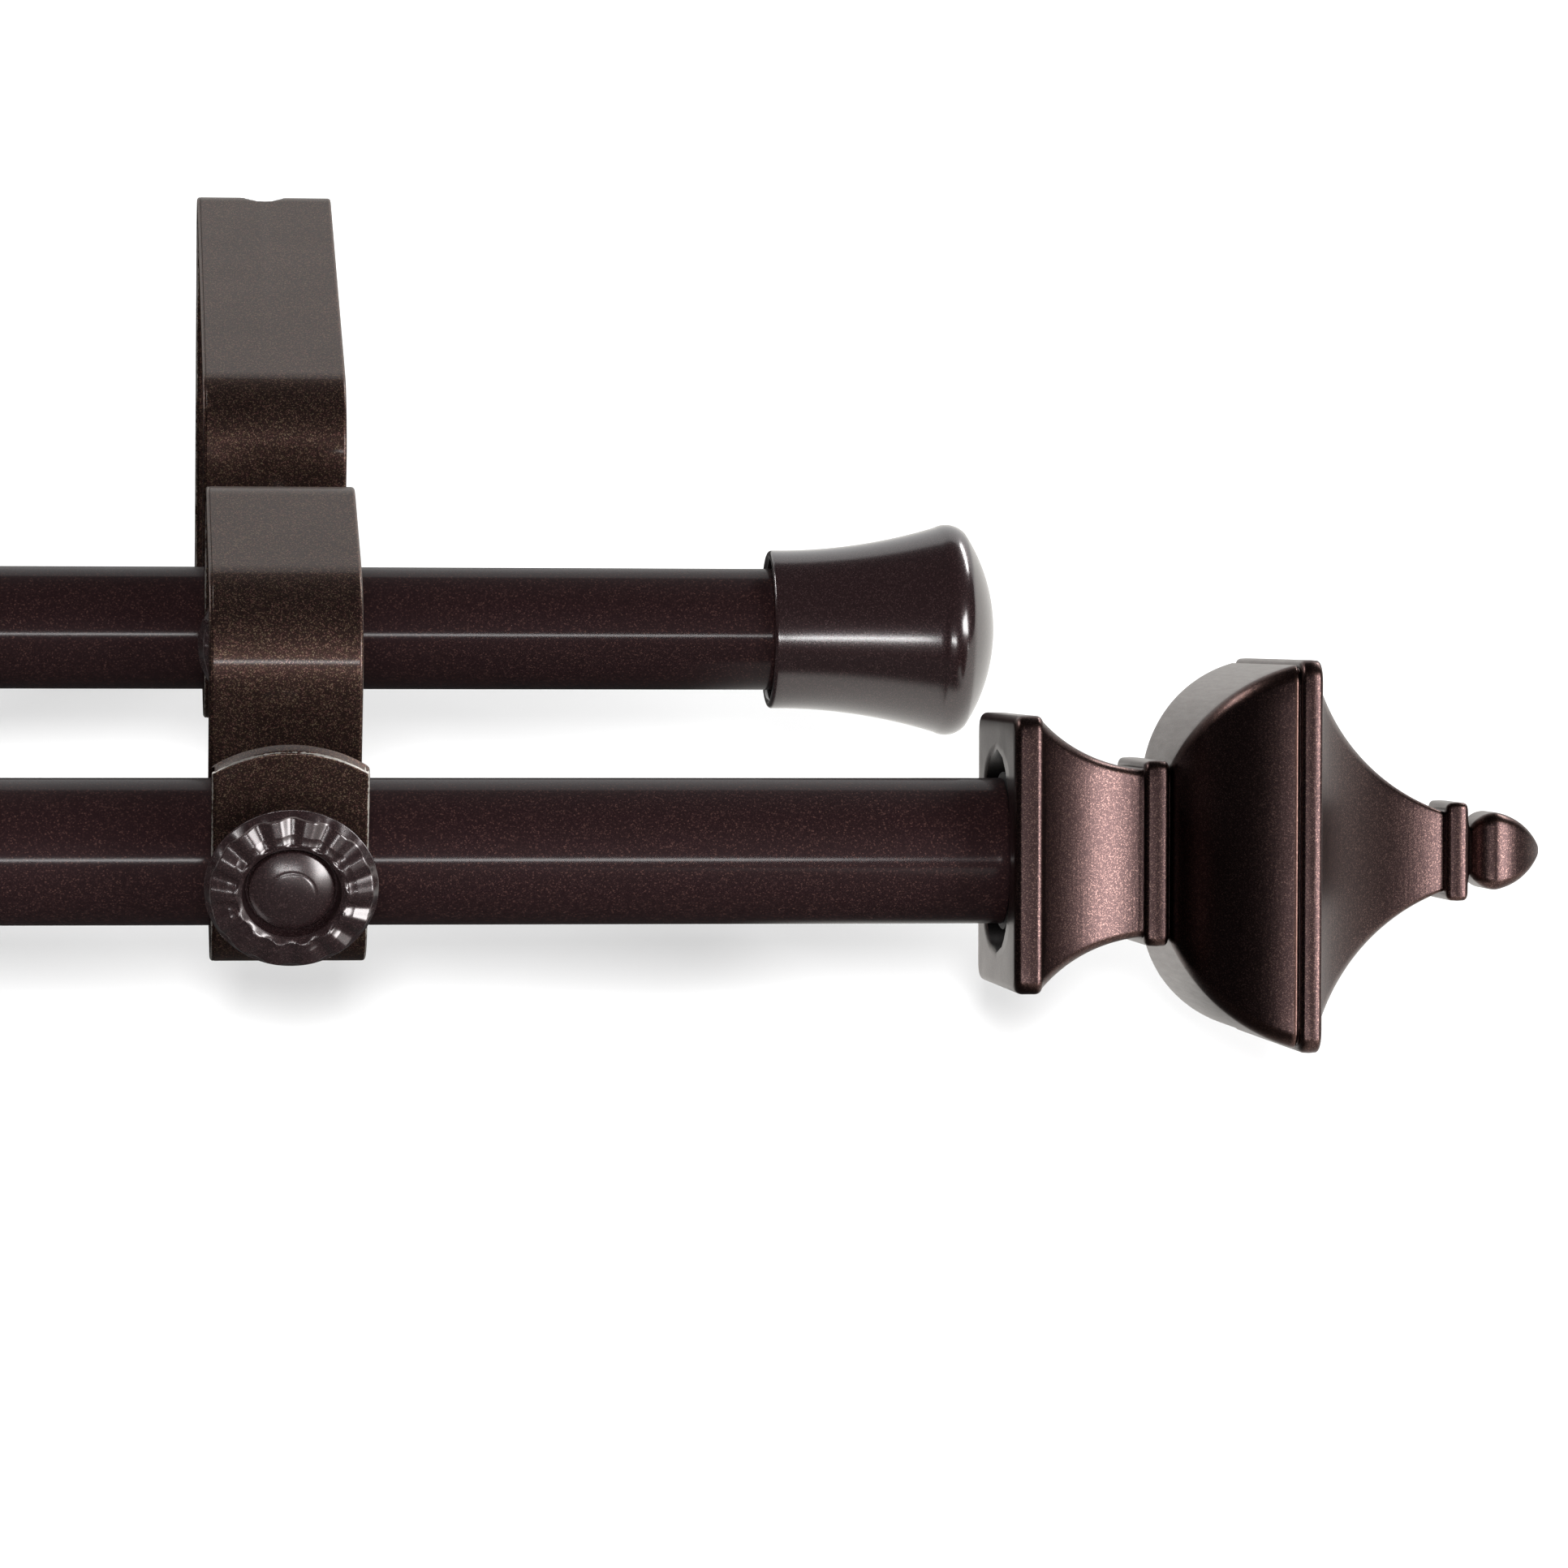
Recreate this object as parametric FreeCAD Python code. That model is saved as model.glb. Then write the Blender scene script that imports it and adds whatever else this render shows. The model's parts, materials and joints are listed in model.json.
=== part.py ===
"""Double curtain pole: two telescopic steel poles carried one behind the other by bent strap brackets.

Frame, in millimetres: +X along the poles, +Y into the wall, +Z up. The origin is on the wall face of
the right-hand bracket, midway between its two screw holes. The right half holds the thick tubes, the
left half the thin tubes that slide in them. The pole set is shown fully pushed together.
"""
import FreeCAD, Part
import math
import os

V = FreeCAD.Vector
X_DIR = V(1, 0, 0)
Y_DIR = V(0, 1, 0)
Z_DIR = V(0, 0, 1)

# Layout of the pole set
closed_length = 711.0        # between the mouths of the two front finials, pushed together
bracket_to_mouth = 92.6      # centre of a bracket to the mouth of the front finial beside it
back_cap_in = 23.6           # the back poles stop this far short of the front finial's mouth
front_pole_out = 166.2       # wall to the front pole's axis
back_pole_out = 96.6         # wall to the back pole's axis
pole_height = 8.1            # front and back pole axes above the screw pattern's centre

# Tubes
front_outer_d = 19.05
front_tube_step = 3.05       # how much thinner the tube inside is than the tube round it
back_outer_d = 17.0
back_tube_step = 3.0
tube_wall = 0.8
outer_tube_stop = 48.0       # left end of the thick tubes, right of the left bracket's centre
inner_tube_gap = 34.0        # right end of the thin tubes, left of the thick tubes' right end

# Bent strap of a bracket
strap_w = 20.0
strap_t = 2.5
arm_top = 38.0               # top face of the arm above the screw pattern's centre
plate_drop = 32.0            # wall plate below the screw pattern's centre
hole_pitch = 40.0
hole_d = 4.5
countersink_d = 7.5
wall_bend_r = 5.5            # all bend radii are on the strap's inner face
arm_bend_r = 8.2
hump_bend_r = 9.8
cup_bend_r = 6.0
back_cup_room = 3.0          # inside width of a cup, over the diameter of its pole
front_cup_room = 3.55
lip_above_axis = 20.9        # crown of the front lip above the front pole's axis
lip_arch_r = 18.2
dart_r = 4.0                 # stiffening dart pressed into the top bend
dart_depth = 2.0
strap_edge = 0.4             # the strap's long edges are broken by this much

# Thumb screws
screw_above_floor = 15.8     # screw axis above the floor of its cup
screw_d = 5.0
knob_d = 22.0
knob_rim_t = 2.4
knob_fall = 0.8              # the fluted ring falls this much from its inner crest to its rim
knob_dish = 1.7              # from the ring's crest back to the boss's edge
knob_throat = 0.8            # bevel inside the ring's crest
knob_face_out = 11.4         # crest of the fluted ring, out from the strap
knob_back_cone = 3.2
knob_hub_d = 9.6
knob_boss_d = 10.8
knob_boss_rise = 1.6
knob_groove_w = 0.5
knob_groove_depth = 1.1
knob_ring_r = 7.0            # crest of the fluted ring
flute_count = 14
flute_r0 = 1.4               # a flute widens and deepens from the crest to the rim
flute_r1 = 2.2
flute_depth0 = 0.55
flute_depth1 = 1.0
knob_socket = 4.6            # how far the stud is pressed into the knob

# Front finial, square in section, as lengths from its mouth and half-widths
finial_len = 72.3
block_len = 3.7
block_h = 17.9
block_round = 1.2
cove_end = 17.8
cove_h = 10.9
bead_end = 21.0
bead_h = 12.0
bowl_len = 14.7
bowl_h = 24.5
rim_bead_len = 2.9
rim_bead_h = 25.1
taper_end = 58.7
taper_h0 = 22.4
taper_h = 5.2
collar_len = 2.9
collar_h = 6.4
neck_h = 3.2
tip_h = 5.1
tip_widest = 4.1             # collar to the widest place of the acorn tip
step_in = 1.0                # each bead and rim stands this much above its foot
finial_turn = 24.5           # the finial's faces are turned this far about the pole
finial_bore_d = 26.7
finial_bore_len = 2.8
finial_corner = 0.972        # the square's corners are chamfered at this share of their reach

# Plug and stud that carry a finial
flange_over = 0.8            # the flange stands this much outside the tube, all round
flange_t = 2.0
plug_lead = 1.5              # taper at the plug's inner end, this long and two thirds as deep
plug_len = 18.0
stud_d = 6.0
stud_in_plug = 12.0
stud_in_finial = 13.0

# Back end cap, turned, as lengths from its mouth and radii
cap_len = 31.8
cap_mouth_gap = 1.4          # shadow gap between the pole and the cap's mouth
cap_mouth_wall = 1.2
cap_waist_len = 12.0
cap_waist_over = 0.75        # the waist's and the bulb's radii, over the mouth's
cap_bulb_at = 25.3
cap_bulb_over = 3.7
cap_flare_back = 1.8         # the bulb's round starts this far before its widest place,
cap_flare_below = 0.4        # this much below it,
cap_shoulder_on = 2.3        # and ends this far beyond it
cap_shoulder_below = 1.05    # and this much below it
cap_recess_len = 6.0
cap_grip_len = 14.0

# Plastic guides
sleeve_len = 16.0
sleeve_lip_t = 1.6
sleeve_lip_over = 0.5
glide_len = 14.0
glide_head_len = 4.0
collar_over = 1.5            # a pole collar overhangs the left strap this much on each side
fit_gap = 0.05               # radial gap of a sliding fit, and the gap under a pole in its cup
seat_gap = 0.05              # gap where one piece butts against another
tip_gap = 0.3                # stud tip to pole

# Sizes and places worked out from those above
front_inner_d = front_outer_d - front_tube_step
back_inner_d = back_outer_d - back_tube_step
front_cup_w = front_outer_d + front_cup_room
back_cup_w = back_outer_d + back_cup_room
flange_d = front_outer_d + 2 * flange_over
cap_mouth_r = back_outer_d / 2 + cap_mouth_gap + cap_mouth_wall
cap_waist_r = cap_mouth_r + cap_waist_over
cap_bulb_r = cap_mouth_r + cap_bulb_over
mouth_right = bracket_to_mouth
mouth_left = bracket_to_mouth - closed_length
left_bracket_x = mouth_left + bracket_to_mouth
cap_mouth_right = mouth_right - back_cap_in
cap_mouth_left = mouth_left + back_cap_in
thick_left_end = left_bracket_x + outer_tube_stop
front_axis = V(0, -front_pole_out, pole_height)
back_axis = V(0, -back_pole_out, pole_height)
front_floor = pole_height - front_outer_d / 2 - fit_gap
back_floor = pole_height - back_outer_d / 2 - fit_gap
lip_in = front_pole_out + front_cup_w / 2
lip_out = lip_in + strap_t
back_cup_out = back_pole_out + back_cup_w / 2 + strap_t


def tube_x(x0, x1, outer_r, inner_r, axis):
    """Return a round tube along X between x0 and x1; an inner radius of 0 makes it solid."""
    base = V(x0, axis.y, axis.z)
    solid = Part.makeCylinder(outer_r, x1 - x0, base, X_DIR)
    if inner_r > 0:
        margin = 1.0
        hole = Part.makeCylinder(inner_r, x1 - x0 + 2 * margin, base - X_DIR * margin, X_DIR)
        solid = solid.cut(hole)
    return solid


def turned(outline, base, direction):
    """Revolve an outline of edges in the plane (length, radius) about the length axis at base."""
    face = Part.Face(Part.Wire(outline))
    solid = face.revolve(V(0, 0, 0), X_DIR, 360)
    solid.Placement = FreeCAD.Placement(base, FreeCAD.Rotation(X_DIR, direction))
    return Part.Solid(solid) if solid.ShapeType == "Shell" else solid


def lines(points):
    """Return straight edges through (length, radius) points."""
    vectors = [V(a, b, 0) for a, b in points]
    return [Part.makeLine(p, q) for p, q in zip(vectors, vectors[1:])]


def arc(start, middle, end):
    """Return an arc edge through three (length, radius) points."""
    return Part.Arc(V(*start, 0), V(*middle, 0), V(*end, 0)).toShape()


def cap_arc(edge, crown):
    """Return the arc of a ball's cap, from its edge point (length, radius) to its crown on the axis."""
    rise = crown - edge[0]
    ball = (edge[1] ** 2 + rise ** 2) / (2 * rise)
    half_angle = math.asin(edge[1] / ball) / 2
    middle = (crown - ball + ball * math.cos(half_angle), ball * math.sin(half_angle))
    return arc(edge, middle, (crown, 0))


def strap_route():
    """Return the corner points of the strap's middle line as (out from wall, height), and its radii.

    A corner's radius is on the middle line: the inner radius plus half the strap's thickness.
    """
    half = strap_t / 2
    back_left = back_pole_out - back_cup_w / 2 - half
    back_right = back_pole_out + back_cup_w / 2 + half
    front_left = front_pole_out - front_cup_w / 2 - half
    front_right = lip_in + half
    top = arm_top - half
    lip_top = pole_height + lip_above_axis
    corners = [
        (half, -plate_drop), (half, top), (back_left, top), (back_left, back_floor - half),
        (back_right, back_floor - half), (back_right, top), (front_left, top),
        (front_left, front_floor - half), (front_right, front_floor - half), (front_right, lip_top)]
    inner_radii = [wall_bend_r, arm_bend_r, cup_bend_r, cup_bend_r, hump_bend_r, hump_bend_r,
                   cup_bend_r, cup_bend_r]
    return corners, [r + half for r in inner_radii]


def strap_section():
    """Return the strap's closed side outline: each bend is an arc about one centre for both faces."""
    corners, radii = strap_route()
    sides = {1: [], -1: []}
    corners = [V(0, -out, height) for out, height in corners]
    first, second = corners[0], corners[1]
    normal = X_DIR.cross((second - first).normalize())
    for side in sides:
        sides[side].append(("point", first + normal * (side * strap_t / 2)))
    for k, radius in enumerate(radii, start=1):
        before, here, after = corners[k - 1], corners[k], corners[k + 1]
        back = (before - here).normalize()
        ahead = (after - here).normalize()
        reach = radius / math.tan(back.getAngle(ahead) / 2)
        bisector = (back + ahead).normalize()
        centre = here + bisector * (radius / math.sin(back.getAngle(ahead) / 2))
        turn = 1 if X_DIR.cross(back * -1).dot(centre - here) > 0 else -1
        start, end = here + back * reach, here + ahead * reach
        for side in sides:
            r = radius - side * turn * strap_t / 2
            arc_points = [centre + (p - centre).normalize() * r
                          for p in (start, centre - bisector * radius, end)]
            sides[side].append(("arc", arc_points))
    last, prior = corners[-1], corners[-2]
    normal = X_DIR.cross((last - prior).normalize())
    edges = []
    ends = {}
    for side, items in sides.items():
        place = items[0][1]
        for kind, points in items[1:]:
            edges.append(Part.makeLine(place, points[0]))
            edges.append(Part.Arc(*points).toShape())
            place = points[2]
        ends[side] = last + normal * (side * strap_t / 2)
        edges.append(Part.makeLine(place, ends[side]))
    edges.append(Part.makeLine(ends[1], ends[-1]))
    edges.append(Part.makeLine(sides[1][0][1], sides[-1][0][1]))
    return Part.Wire(Part.__sortEdges__(edges))


def lip_arch():
    """Return the cutter that leaves the front lip's top as an arch across the strap."""
    crown = pole_height + lip_above_axis
    margin = strap_t
    side = strap_w
    block = Part.makeBox(2 * side, strap_t + 2 * margin, side, V(-side, -lip_out - margin, crown - side / 2))
    round_top = Part.makeCylinder(lip_arch_r, strap_t + 4 * margin,
                                  V(0, -lip_out - 2 * margin, crown - lip_arch_r), Y_DIR)
    return block.cut(round_top)


def dart():
    """Return the stiffening dart of the top bend: its bulge inside the bend, and its hollow outside.

    Both are cylinders about one line, which runs down the bend at 45 degrees and clear of it, so that
    the hollow runs out by itself where the bend meets the flats.
    """
    outer_bend = wall_bend_r + strap_t
    bend_centre = V(0, -outer_bend, arm_top - outer_bend)
    out = V(0, 1, 1).normalize()
    down = V(0, 1, -1).normalize()
    reach = outer_bend
    start = bend_centre + out * (outer_bend + dart_r - dart_depth) - down * reach
    hollow = Part.makeCylinder(dart_r, 2 * reach, start, down)
    bulge = Part.makeCylinder(dart_r + strap_t, 2 * reach, start, down)
    half = strap_t / 2
    width = 2 * (dart_r + strap_t)
    side = 2 * outer_bend
    core = Part.makeBox(width, side, side, V(-width / 2, -half - side, arm_top - half - side))
    corner = [e for e in core.Edges if abs(e.CenterOfMass.y + half) < 1e-6
              and abs(e.CenterOfMass.z - arm_top + half) < 1e-6]
    core = core.makeFillet(outer_bend - half, corner)
    return core.common(bulge), hollow


def screw_axes():
    """Return, for the front and back cup, the screw axis height and how far out its strap's face is."""
    return {"front": (front_floor + screw_above_floor, lip_out, front_pole_out, front_outer_d),
            "back": (back_floor + screw_above_floor, back_cup_out, back_pole_out, back_outer_d)}


def bracket(x):
    """Return one bracket: a flat steel strap bent into two cups, with its wall plate."""
    strap = Part.Face(strap_section()).extrude(X_DIR * strap_w)
    strap.translate(V(-strap_w / 2, 0, 0))
    long_edges = [e for e in strap.Edges if abs(abs(e.CenterOfMass.x) - strap_w / 2) < 1e-6]
    strap = strap.makeChamfer(strap_edge, long_edges)
    strap = strap.cut(lip_arch())
    bulge, hollow = dart()
    strap = strap.fuse(bulge).cut(hollow)
    margin = 1.0
    for z in (-hole_pitch / 2, hole_pitch / 2):
        drill = Part.makeCylinder(hole_d / 2, strap_t + 2 * margin, V(0, margin, z), Y_DIR * -1)
        sink = Part.makeCone(hole_d / 2, countersink_d / 2, (countersink_d - hole_d) / 2,
                             V(0, (countersink_d - hole_d) / 2 - strap_t, z), Y_DIR * -1)
        strap = strap.cut(drill).cut(sink)
    for height, face_out, pole_out, pole_d in screw_axes().values():
        tapped = Part.makeCylinder(screw_d / 2 + fit_gap, strap_t + 2 * margin,
                                   V(0, -face_out - margin, height), Y_DIR)
        strap = strap.cut(tapped)
    strap.translate(X_DIR * x)
    return strap


def stud_span(side):
    """Return a thumb screw's height, its tip's distance from the wall and the strap face's."""
    height, face_out, pole_out, pole_d = screw_axes()[side]
    rise = height - screw_d / 2 - pole_height
    tip_out = pole_out + math.sqrt((pole_d / 2) ** 2 - rise ** 2) + tip_gap
    return height, tip_out, face_out


def screw_stud(side, x):
    """Return the threaded stud of a thumb screw, with a chamfered tip."""
    height, tip_out, face_out = stud_span(side)
    end_out = face_out + knob_face_out - knob_fall - knob_rim_t - knob_back_cone + knob_socket
    chamfer = 0.5
    r = screw_d / 2
    outline = lines([(0, 0), (0, r - chamfer), (chamfer, r), (end_out - tip_out, r),
                     (end_out - tip_out, 0), (0, 0)])
    return turned(outline, V(x, -tip_out, height), Y_DIR * -1)


def knob(side, x):
    """Return a thumb screw's knob: a ring with radial flutes, round a groove and a domed boss."""
    height, tip_out, face_out = stud_span(side)
    rim_r = knob_d / 2
    boss_r = knob_boss_d / 2
    groove_r = boss_r + knob_groove_w
    crest = knob_face_out
    front = crest - knob_fall
    back = front - knob_rim_t
    floor = crest - knob_dish
    edge = knob_rim_t / 3
    hub_start = back - knob_back_cone
    boss_top = floor + knob_boss_rise
    groove = floor - knob_groove_depth
    hub_r = knob_hub_d / 2
    bore_r = screw_d / 2 + fit_gap
    bore_end = hub_start + knob_socket + seat_gap
    outline = lines([
        (hub_start, bore_r), (hub_start, hub_r), (hub_start + knob_back_cone / 2, hub_r),
        (back, rim_r - edge), (back + edge, rim_r), (front, rim_r - edge),
        (crest, knob_ring_r), (crest - knob_throat, knob_ring_r - knob_throat), (groove, groove_r),
        (groove, boss_r), (floor, boss_r)])
    outline.append(cap_arc((floor, boss_r), boss_top))
    outline += lines([(boss_top, 0), (bore_end, 0), (bore_end, bore_r), (hub_start, bore_r)])
    head = turned(outline, V(0, 0, 0), X_DIR)
    slope = math.atan2(knob_fall, rim_r - edge - knob_ring_r)
    along = V(-math.sin(slope), 0, math.cos(slope))
    above = V(math.cos(slope), 0, math.sin(slope))
    inner = V(crest, 0, knob_ring_r) - along * knob_throat + above * (flute_r0 - flute_depth0)
    outer = V(front, 0, rim_r - edge) + along * 2 * edge + above * (flute_r1 - flute_depth1)
    for k in range(flute_count):
        flute = Part.makeCone(flute_r0, flute_r1, (outer - inner).Length, inner, outer - inner)
        flute.rotate(V(0, 0, 0), X_DIR, 360 / flute_count * k)
        head = head.cut(flute)
    head.Placement = FreeCAD.Placement(V(x, -face_out, height), FreeCAD.Rotation(X_DIR, Y_DIR * -1))
    return head


def finial_outline(scale):
    """Return the finial's outline from axis to axis as edges in the plane (length, half-width)."""
    bowl_end = bead_end + bowl_len
    rim_end = bowl_end + rim_bead_len
    collar_end = taper_end + collar_len
    neck_at = collar_end + step_in
    tip_at = collar_end + tip_widest
    bead_foot = bead_h - step_in
    rim_foot = rim_bead_h - step_in
    collar_foot = collar_h - step_in

    def at(length, half):
        return (length, half * scale)

    def bead(start, end, foot, crown):
        return arc(at(start, foot), at((start + end) / 2, crown), at(end, foot))

    def hollow(start, end, along, down):
        """Return an arc that has done the share down of its fall after the share along of its length."""
        middle = at(start[0] + along * (end[0] - start[0]), start[1] + down * (end[1] - start[1]))
        return arc(at(*start), middle, at(*end))

    lower = block_h - block_round
    edges = lines([(0, 0), at(0, lower)])
    edges.append(hollow((0, lower), (block_round, block_h), 0.3, 0.7))
    edges += lines([at(block_round, block_h), at(block_len, block_h)])
    edges.append(hollow((block_len, block_h), (cove_end, cove_h), 0.4, 0.62))
    edges += lines([at(cove_end, cove_h), at(cove_end, bead_foot)])
    edges.append(bead(cove_end, bead_end, bead_foot, bead_h))
    edges.append(hollow((bead_end, bead_foot), (bowl_end, bowl_h), 0.46, 0.71))
    edges += lines([at(bowl_end, bowl_h), at(bowl_end, rim_foot)])
    edges.append(bead(bowl_end, rim_end, rim_foot, rim_bead_h))
    edges += lines([at(rim_end, rim_foot), at(rim_end, taper_h0)])
    edges.append(hollow((rim_end, taper_h0), (taper_end, taper_h), 0.47, 0.67))
    edges += lines([at(taper_end, taper_h), at(taper_end, collar_foot)])
    edges.append(bead(taper_end, collar_end, collar_foot, collar_h))
    edges += lines([at(collar_end, collar_foot), at(neck_at, neck_h)])
    edges.append(hollow((neck_at, neck_h), (tip_at, tip_h), 0.4, 0.72))
    edges.append(hollow((tip_at, tip_h), (finial_len, 0), 0.56, 0.34))
    return edges


def finial(mouth_x, direction):
    """Return a finial: crossed extrusions of one outline, and of a taller one for the chamfers."""
    width = 2 * rim_bead_h
    body = None
    for angle, scale in ((0, 1), (90, 1), (45, math.sqrt(2) * finial_corner), (135, math.sqrt(2) * finial_corner)):
        upper = finial_outline(scale)
        lower = [edge.mirror(V(0, 0, 0), Y_DIR) for edge in upper]
        slab = Part.Face(Part.Wire(Part.__sortEdges__(upper + lower))).extrude(Z_DIR * (2 * width))
        slab.translate(Z_DIR * -width)
        slab.rotate(V(0, 0, 0), X_DIR, angle)
        body = body.common(slab) if body else slab
    body = body.cut(Part.makeCylinder(finial_bore_d / 2, finial_bore_len, V(0, 0, 0), X_DIR))
    hole_len = stud_in_finial + seat_gap
    body = body.cut(Part.makeCylinder(stud_d / 2 + fit_gap, hole_len, V(finial_bore_len, 0, 0), X_DIR))
    body.rotate(V(0, 0, 0), X_DIR, -finial_turn * direction)
    if direction < 0:
        body.rotate(V(0, 0, 0), Z_DIR, 180)
    body.translate(V(mouth_x, front_axis.y, front_axis.z))
    return body.removeSplitter()


def finial_plug(mouth_x, direction, tube_bore_d):
    """Return the plastic plug in a front pole's end, with its flange inside the finial's mouth."""
    flange_start = finial_bore_len - seat_gap - flange_t
    r = tube_bore_d / 2 - fit_gap
    bore = stud_d / 2 + fit_gap
    inner_end = flange_start - plug_len
    flange_end = flange_start + flange_t
    outline = lines([(inner_end, bore), (inner_end, r - plug_lead * 2 / 3), (inner_end + plug_lead, r),
                     (flange_start, r), (flange_start, flange_d / 2), (flange_end, flange_d / 2),
                     (flange_end, bore), (inner_end, bore)])
    return turned(outline, V(mouth_x, front_axis.y, front_axis.z), X_DIR * direction)


def finial_stud(mouth_x, direction):
    """Return the threaded stud that joins a finial to the plug in the pole."""
    chamfer = 0.6
    r = stud_d / 2
    start = finial_bore_len - flange_t - stud_in_plug
    end = finial_bore_len + stud_in_finial
    outline = lines([(start, 0), (start, r - chamfer), (start + chamfer, r), (end - chamfer, r),
                     (end, r - chamfer), (end, 0), (start, 0)])
    return turned(outline, V(mouth_x, front_axis.y, front_axis.z), X_DIR * direction)


def end_cap(mouth_x, direction, pole_d):
    """Return a back pole's trumpet cap, with a wide mouth and a socket that grips the pole."""
    grip_r = pole_d / 2 + fit_gap
    recess_r = cap_mouth_r - cap_mouth_wall
    depth = cap_recess_len + cap_grip_len
    lip = cap_mouth_wall / 2
    flare = (cap_bulb_at - cap_flare_back, cap_bulb_r - cap_flare_below)
    shoulder = (cap_bulb_at + cap_shoulder_on, cap_bulb_r - cap_shoulder_below)
    outline = lines([(cap_recess_len, recess_r), (lip, recess_r), (0, recess_r + lip / 2),
                     (0, cap_mouth_r - lip / 2), (lip / 2, cap_mouth_r)])
    outline.append(arc((lip / 2, cap_mouth_r), (cap_waist_len, cap_waist_r), flare))
    outline.append(arc(flare, (cap_bulb_at, cap_bulb_r), shoulder))
    outline.append(cap_arc(shoulder, cap_len))
    outline += lines([(cap_len, 0), (depth, 0), (depth, grip_r), (cap_recess_len, grip_r),
                      (cap_recess_len, recess_r)])
    return turned(outline, V(mouth_x, back_axis.y, back_axis.z), X_DIR * direction)


def guide_sleeve(outer_d, inner_d, axis):
    """Return the plastic sleeve in a thick tube's left end, in which the thin tube slides."""
    bore = inner_d / 2 + fit_gap
    body_r = outer_d / 2 - tube_wall - fit_gap
    lip_r = outer_d / 2 + sleeve_lip_over
    end = thick_left_end - seat_gap
    outline = lines([(end - sleeve_lip_t, bore), (end - sleeve_lip_t, lip_r), (end, lip_r), (end, body_r),
                     (end + sleeve_len, body_r), (end + sleeve_len, bore), (end - sleeve_lip_t, bore)])
    return turned(outline, V(0, axis.y, axis.z), X_DIR)


def glide(outer_d, inner_d, end_x, axis):
    """Return the plastic glide in a thin tube's right end, whose head runs in the thick tube."""
    head_r = outer_d / 2 - tube_wall - fit_gap
    stem_r = inner_d / 2 - tube_wall - fit_gap
    bore = stem_r - 1.6
    chamfer = 0.8
    start = end_x + seat_gap
    outline = lines([(start - glide_len, bore), (start - glide_len, stem_r), (start, stem_r), (start, head_r),
                     (start + glide_head_len - chamfer, head_r), (start + glide_head_len, head_r - chamfer),
                     (start + glide_head_len, bore), (start - glide_len, bore)])
    return turned(outline, V(0, axis.y, axis.z), X_DIR)


def pole_collar(outer_d, inner_d, axis):
    """Return the plastic collar that packs a thin tube up to the thick tube's size in the left cup."""
    half = strap_w / 2 + collar_over
    return tube_x(left_bracket_x - half, left_bracket_x + half, outer_d / 2, inner_d / 2 + fit_gap, axis)


def build():
    """Return every piece of the pole set by its node name."""
    parts = {}
    flange_start = finial_bore_len - seat_gap - flange_t
    front_right_end = mouth_right + flange_start - seat_gap
    front_left_end = mouth_left - flange_start + seat_gap
    cap_depth = cap_recess_len + cap_grip_len - seat_gap
    back_right_end = cap_mouth_right + cap_depth
    back_left_end = cap_mouth_left - cap_depth
    thin_right_end = mouth_right - inner_tube_gap
    poles = {"front": (front_outer_d, front_inner_d, front_right_end, front_left_end, front_axis),
             "back": (back_outer_d, back_inner_d, back_right_end, back_left_end, back_axis)}
    for row, (outer_d, inner_d, right_end, left_end, axis) in poles.items():
        parts[row + "_tube_outer"] = tube_x(thick_left_end, right_end, outer_d / 2, outer_d / 2 - tube_wall, axis)
        parts[row + "_tube_inner"] = tube_x(left_end, thin_right_end, inner_d / 2, inner_d / 2 - tube_wall, axis)
        parts[row + "_guide_sleeve"] = guide_sleeve(outer_d, inner_d, axis)
        parts[row + "_glide"] = glide(outer_d, inner_d, thin_right_end, axis)
        parts[row + "_pole_collar"] = pole_collar(outer_d, inner_d, axis)
    sides = {"right": (0.0, mouth_right, cap_mouth_right, 1, front_outer_d, back_outer_d),
             "left": (left_bracket_x, mouth_left, cap_mouth_left, -1, front_inner_d, back_inner_d)}
    for end, (x, mouth, cap_mouth, direction, front_d, back_d) in sides.items():
        parts["bracket_" + end] = bracket(x)
        parts["finial_" + end] = finial(mouth, direction)
        parts["finial_plug_" + end] = finial_plug(mouth, direction, front_d - 2 * tube_wall)
        parts["finial_stud_" + end] = finial_stud(mouth, direction)
        parts["end_cap_" + end] = end_cap(cap_mouth, direction, back_d)
        for row in ("front", "back"):
            parts[f"{row}_screw_{end}"] = screw_stud(row, x)
            parts[f"{row}_knob_{end}"] = knob(row, x)
    return parts


os.makedirs("parts", exist_ok=True)
for name, shape in build().items():
    solids = shape.Solids
    if len(solids) != 1 or not solids[0].isValid():
        raise RuntimeError(f"{name} has {len(solids)} solids or an invalid one")
    solids[0].exportStep(f"parts/{name}.step")
    print(name, round(solids[0].Volume, 1))
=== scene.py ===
"""Looks of the double curtain pole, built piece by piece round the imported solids, in metres."""
import json
import math

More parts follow.
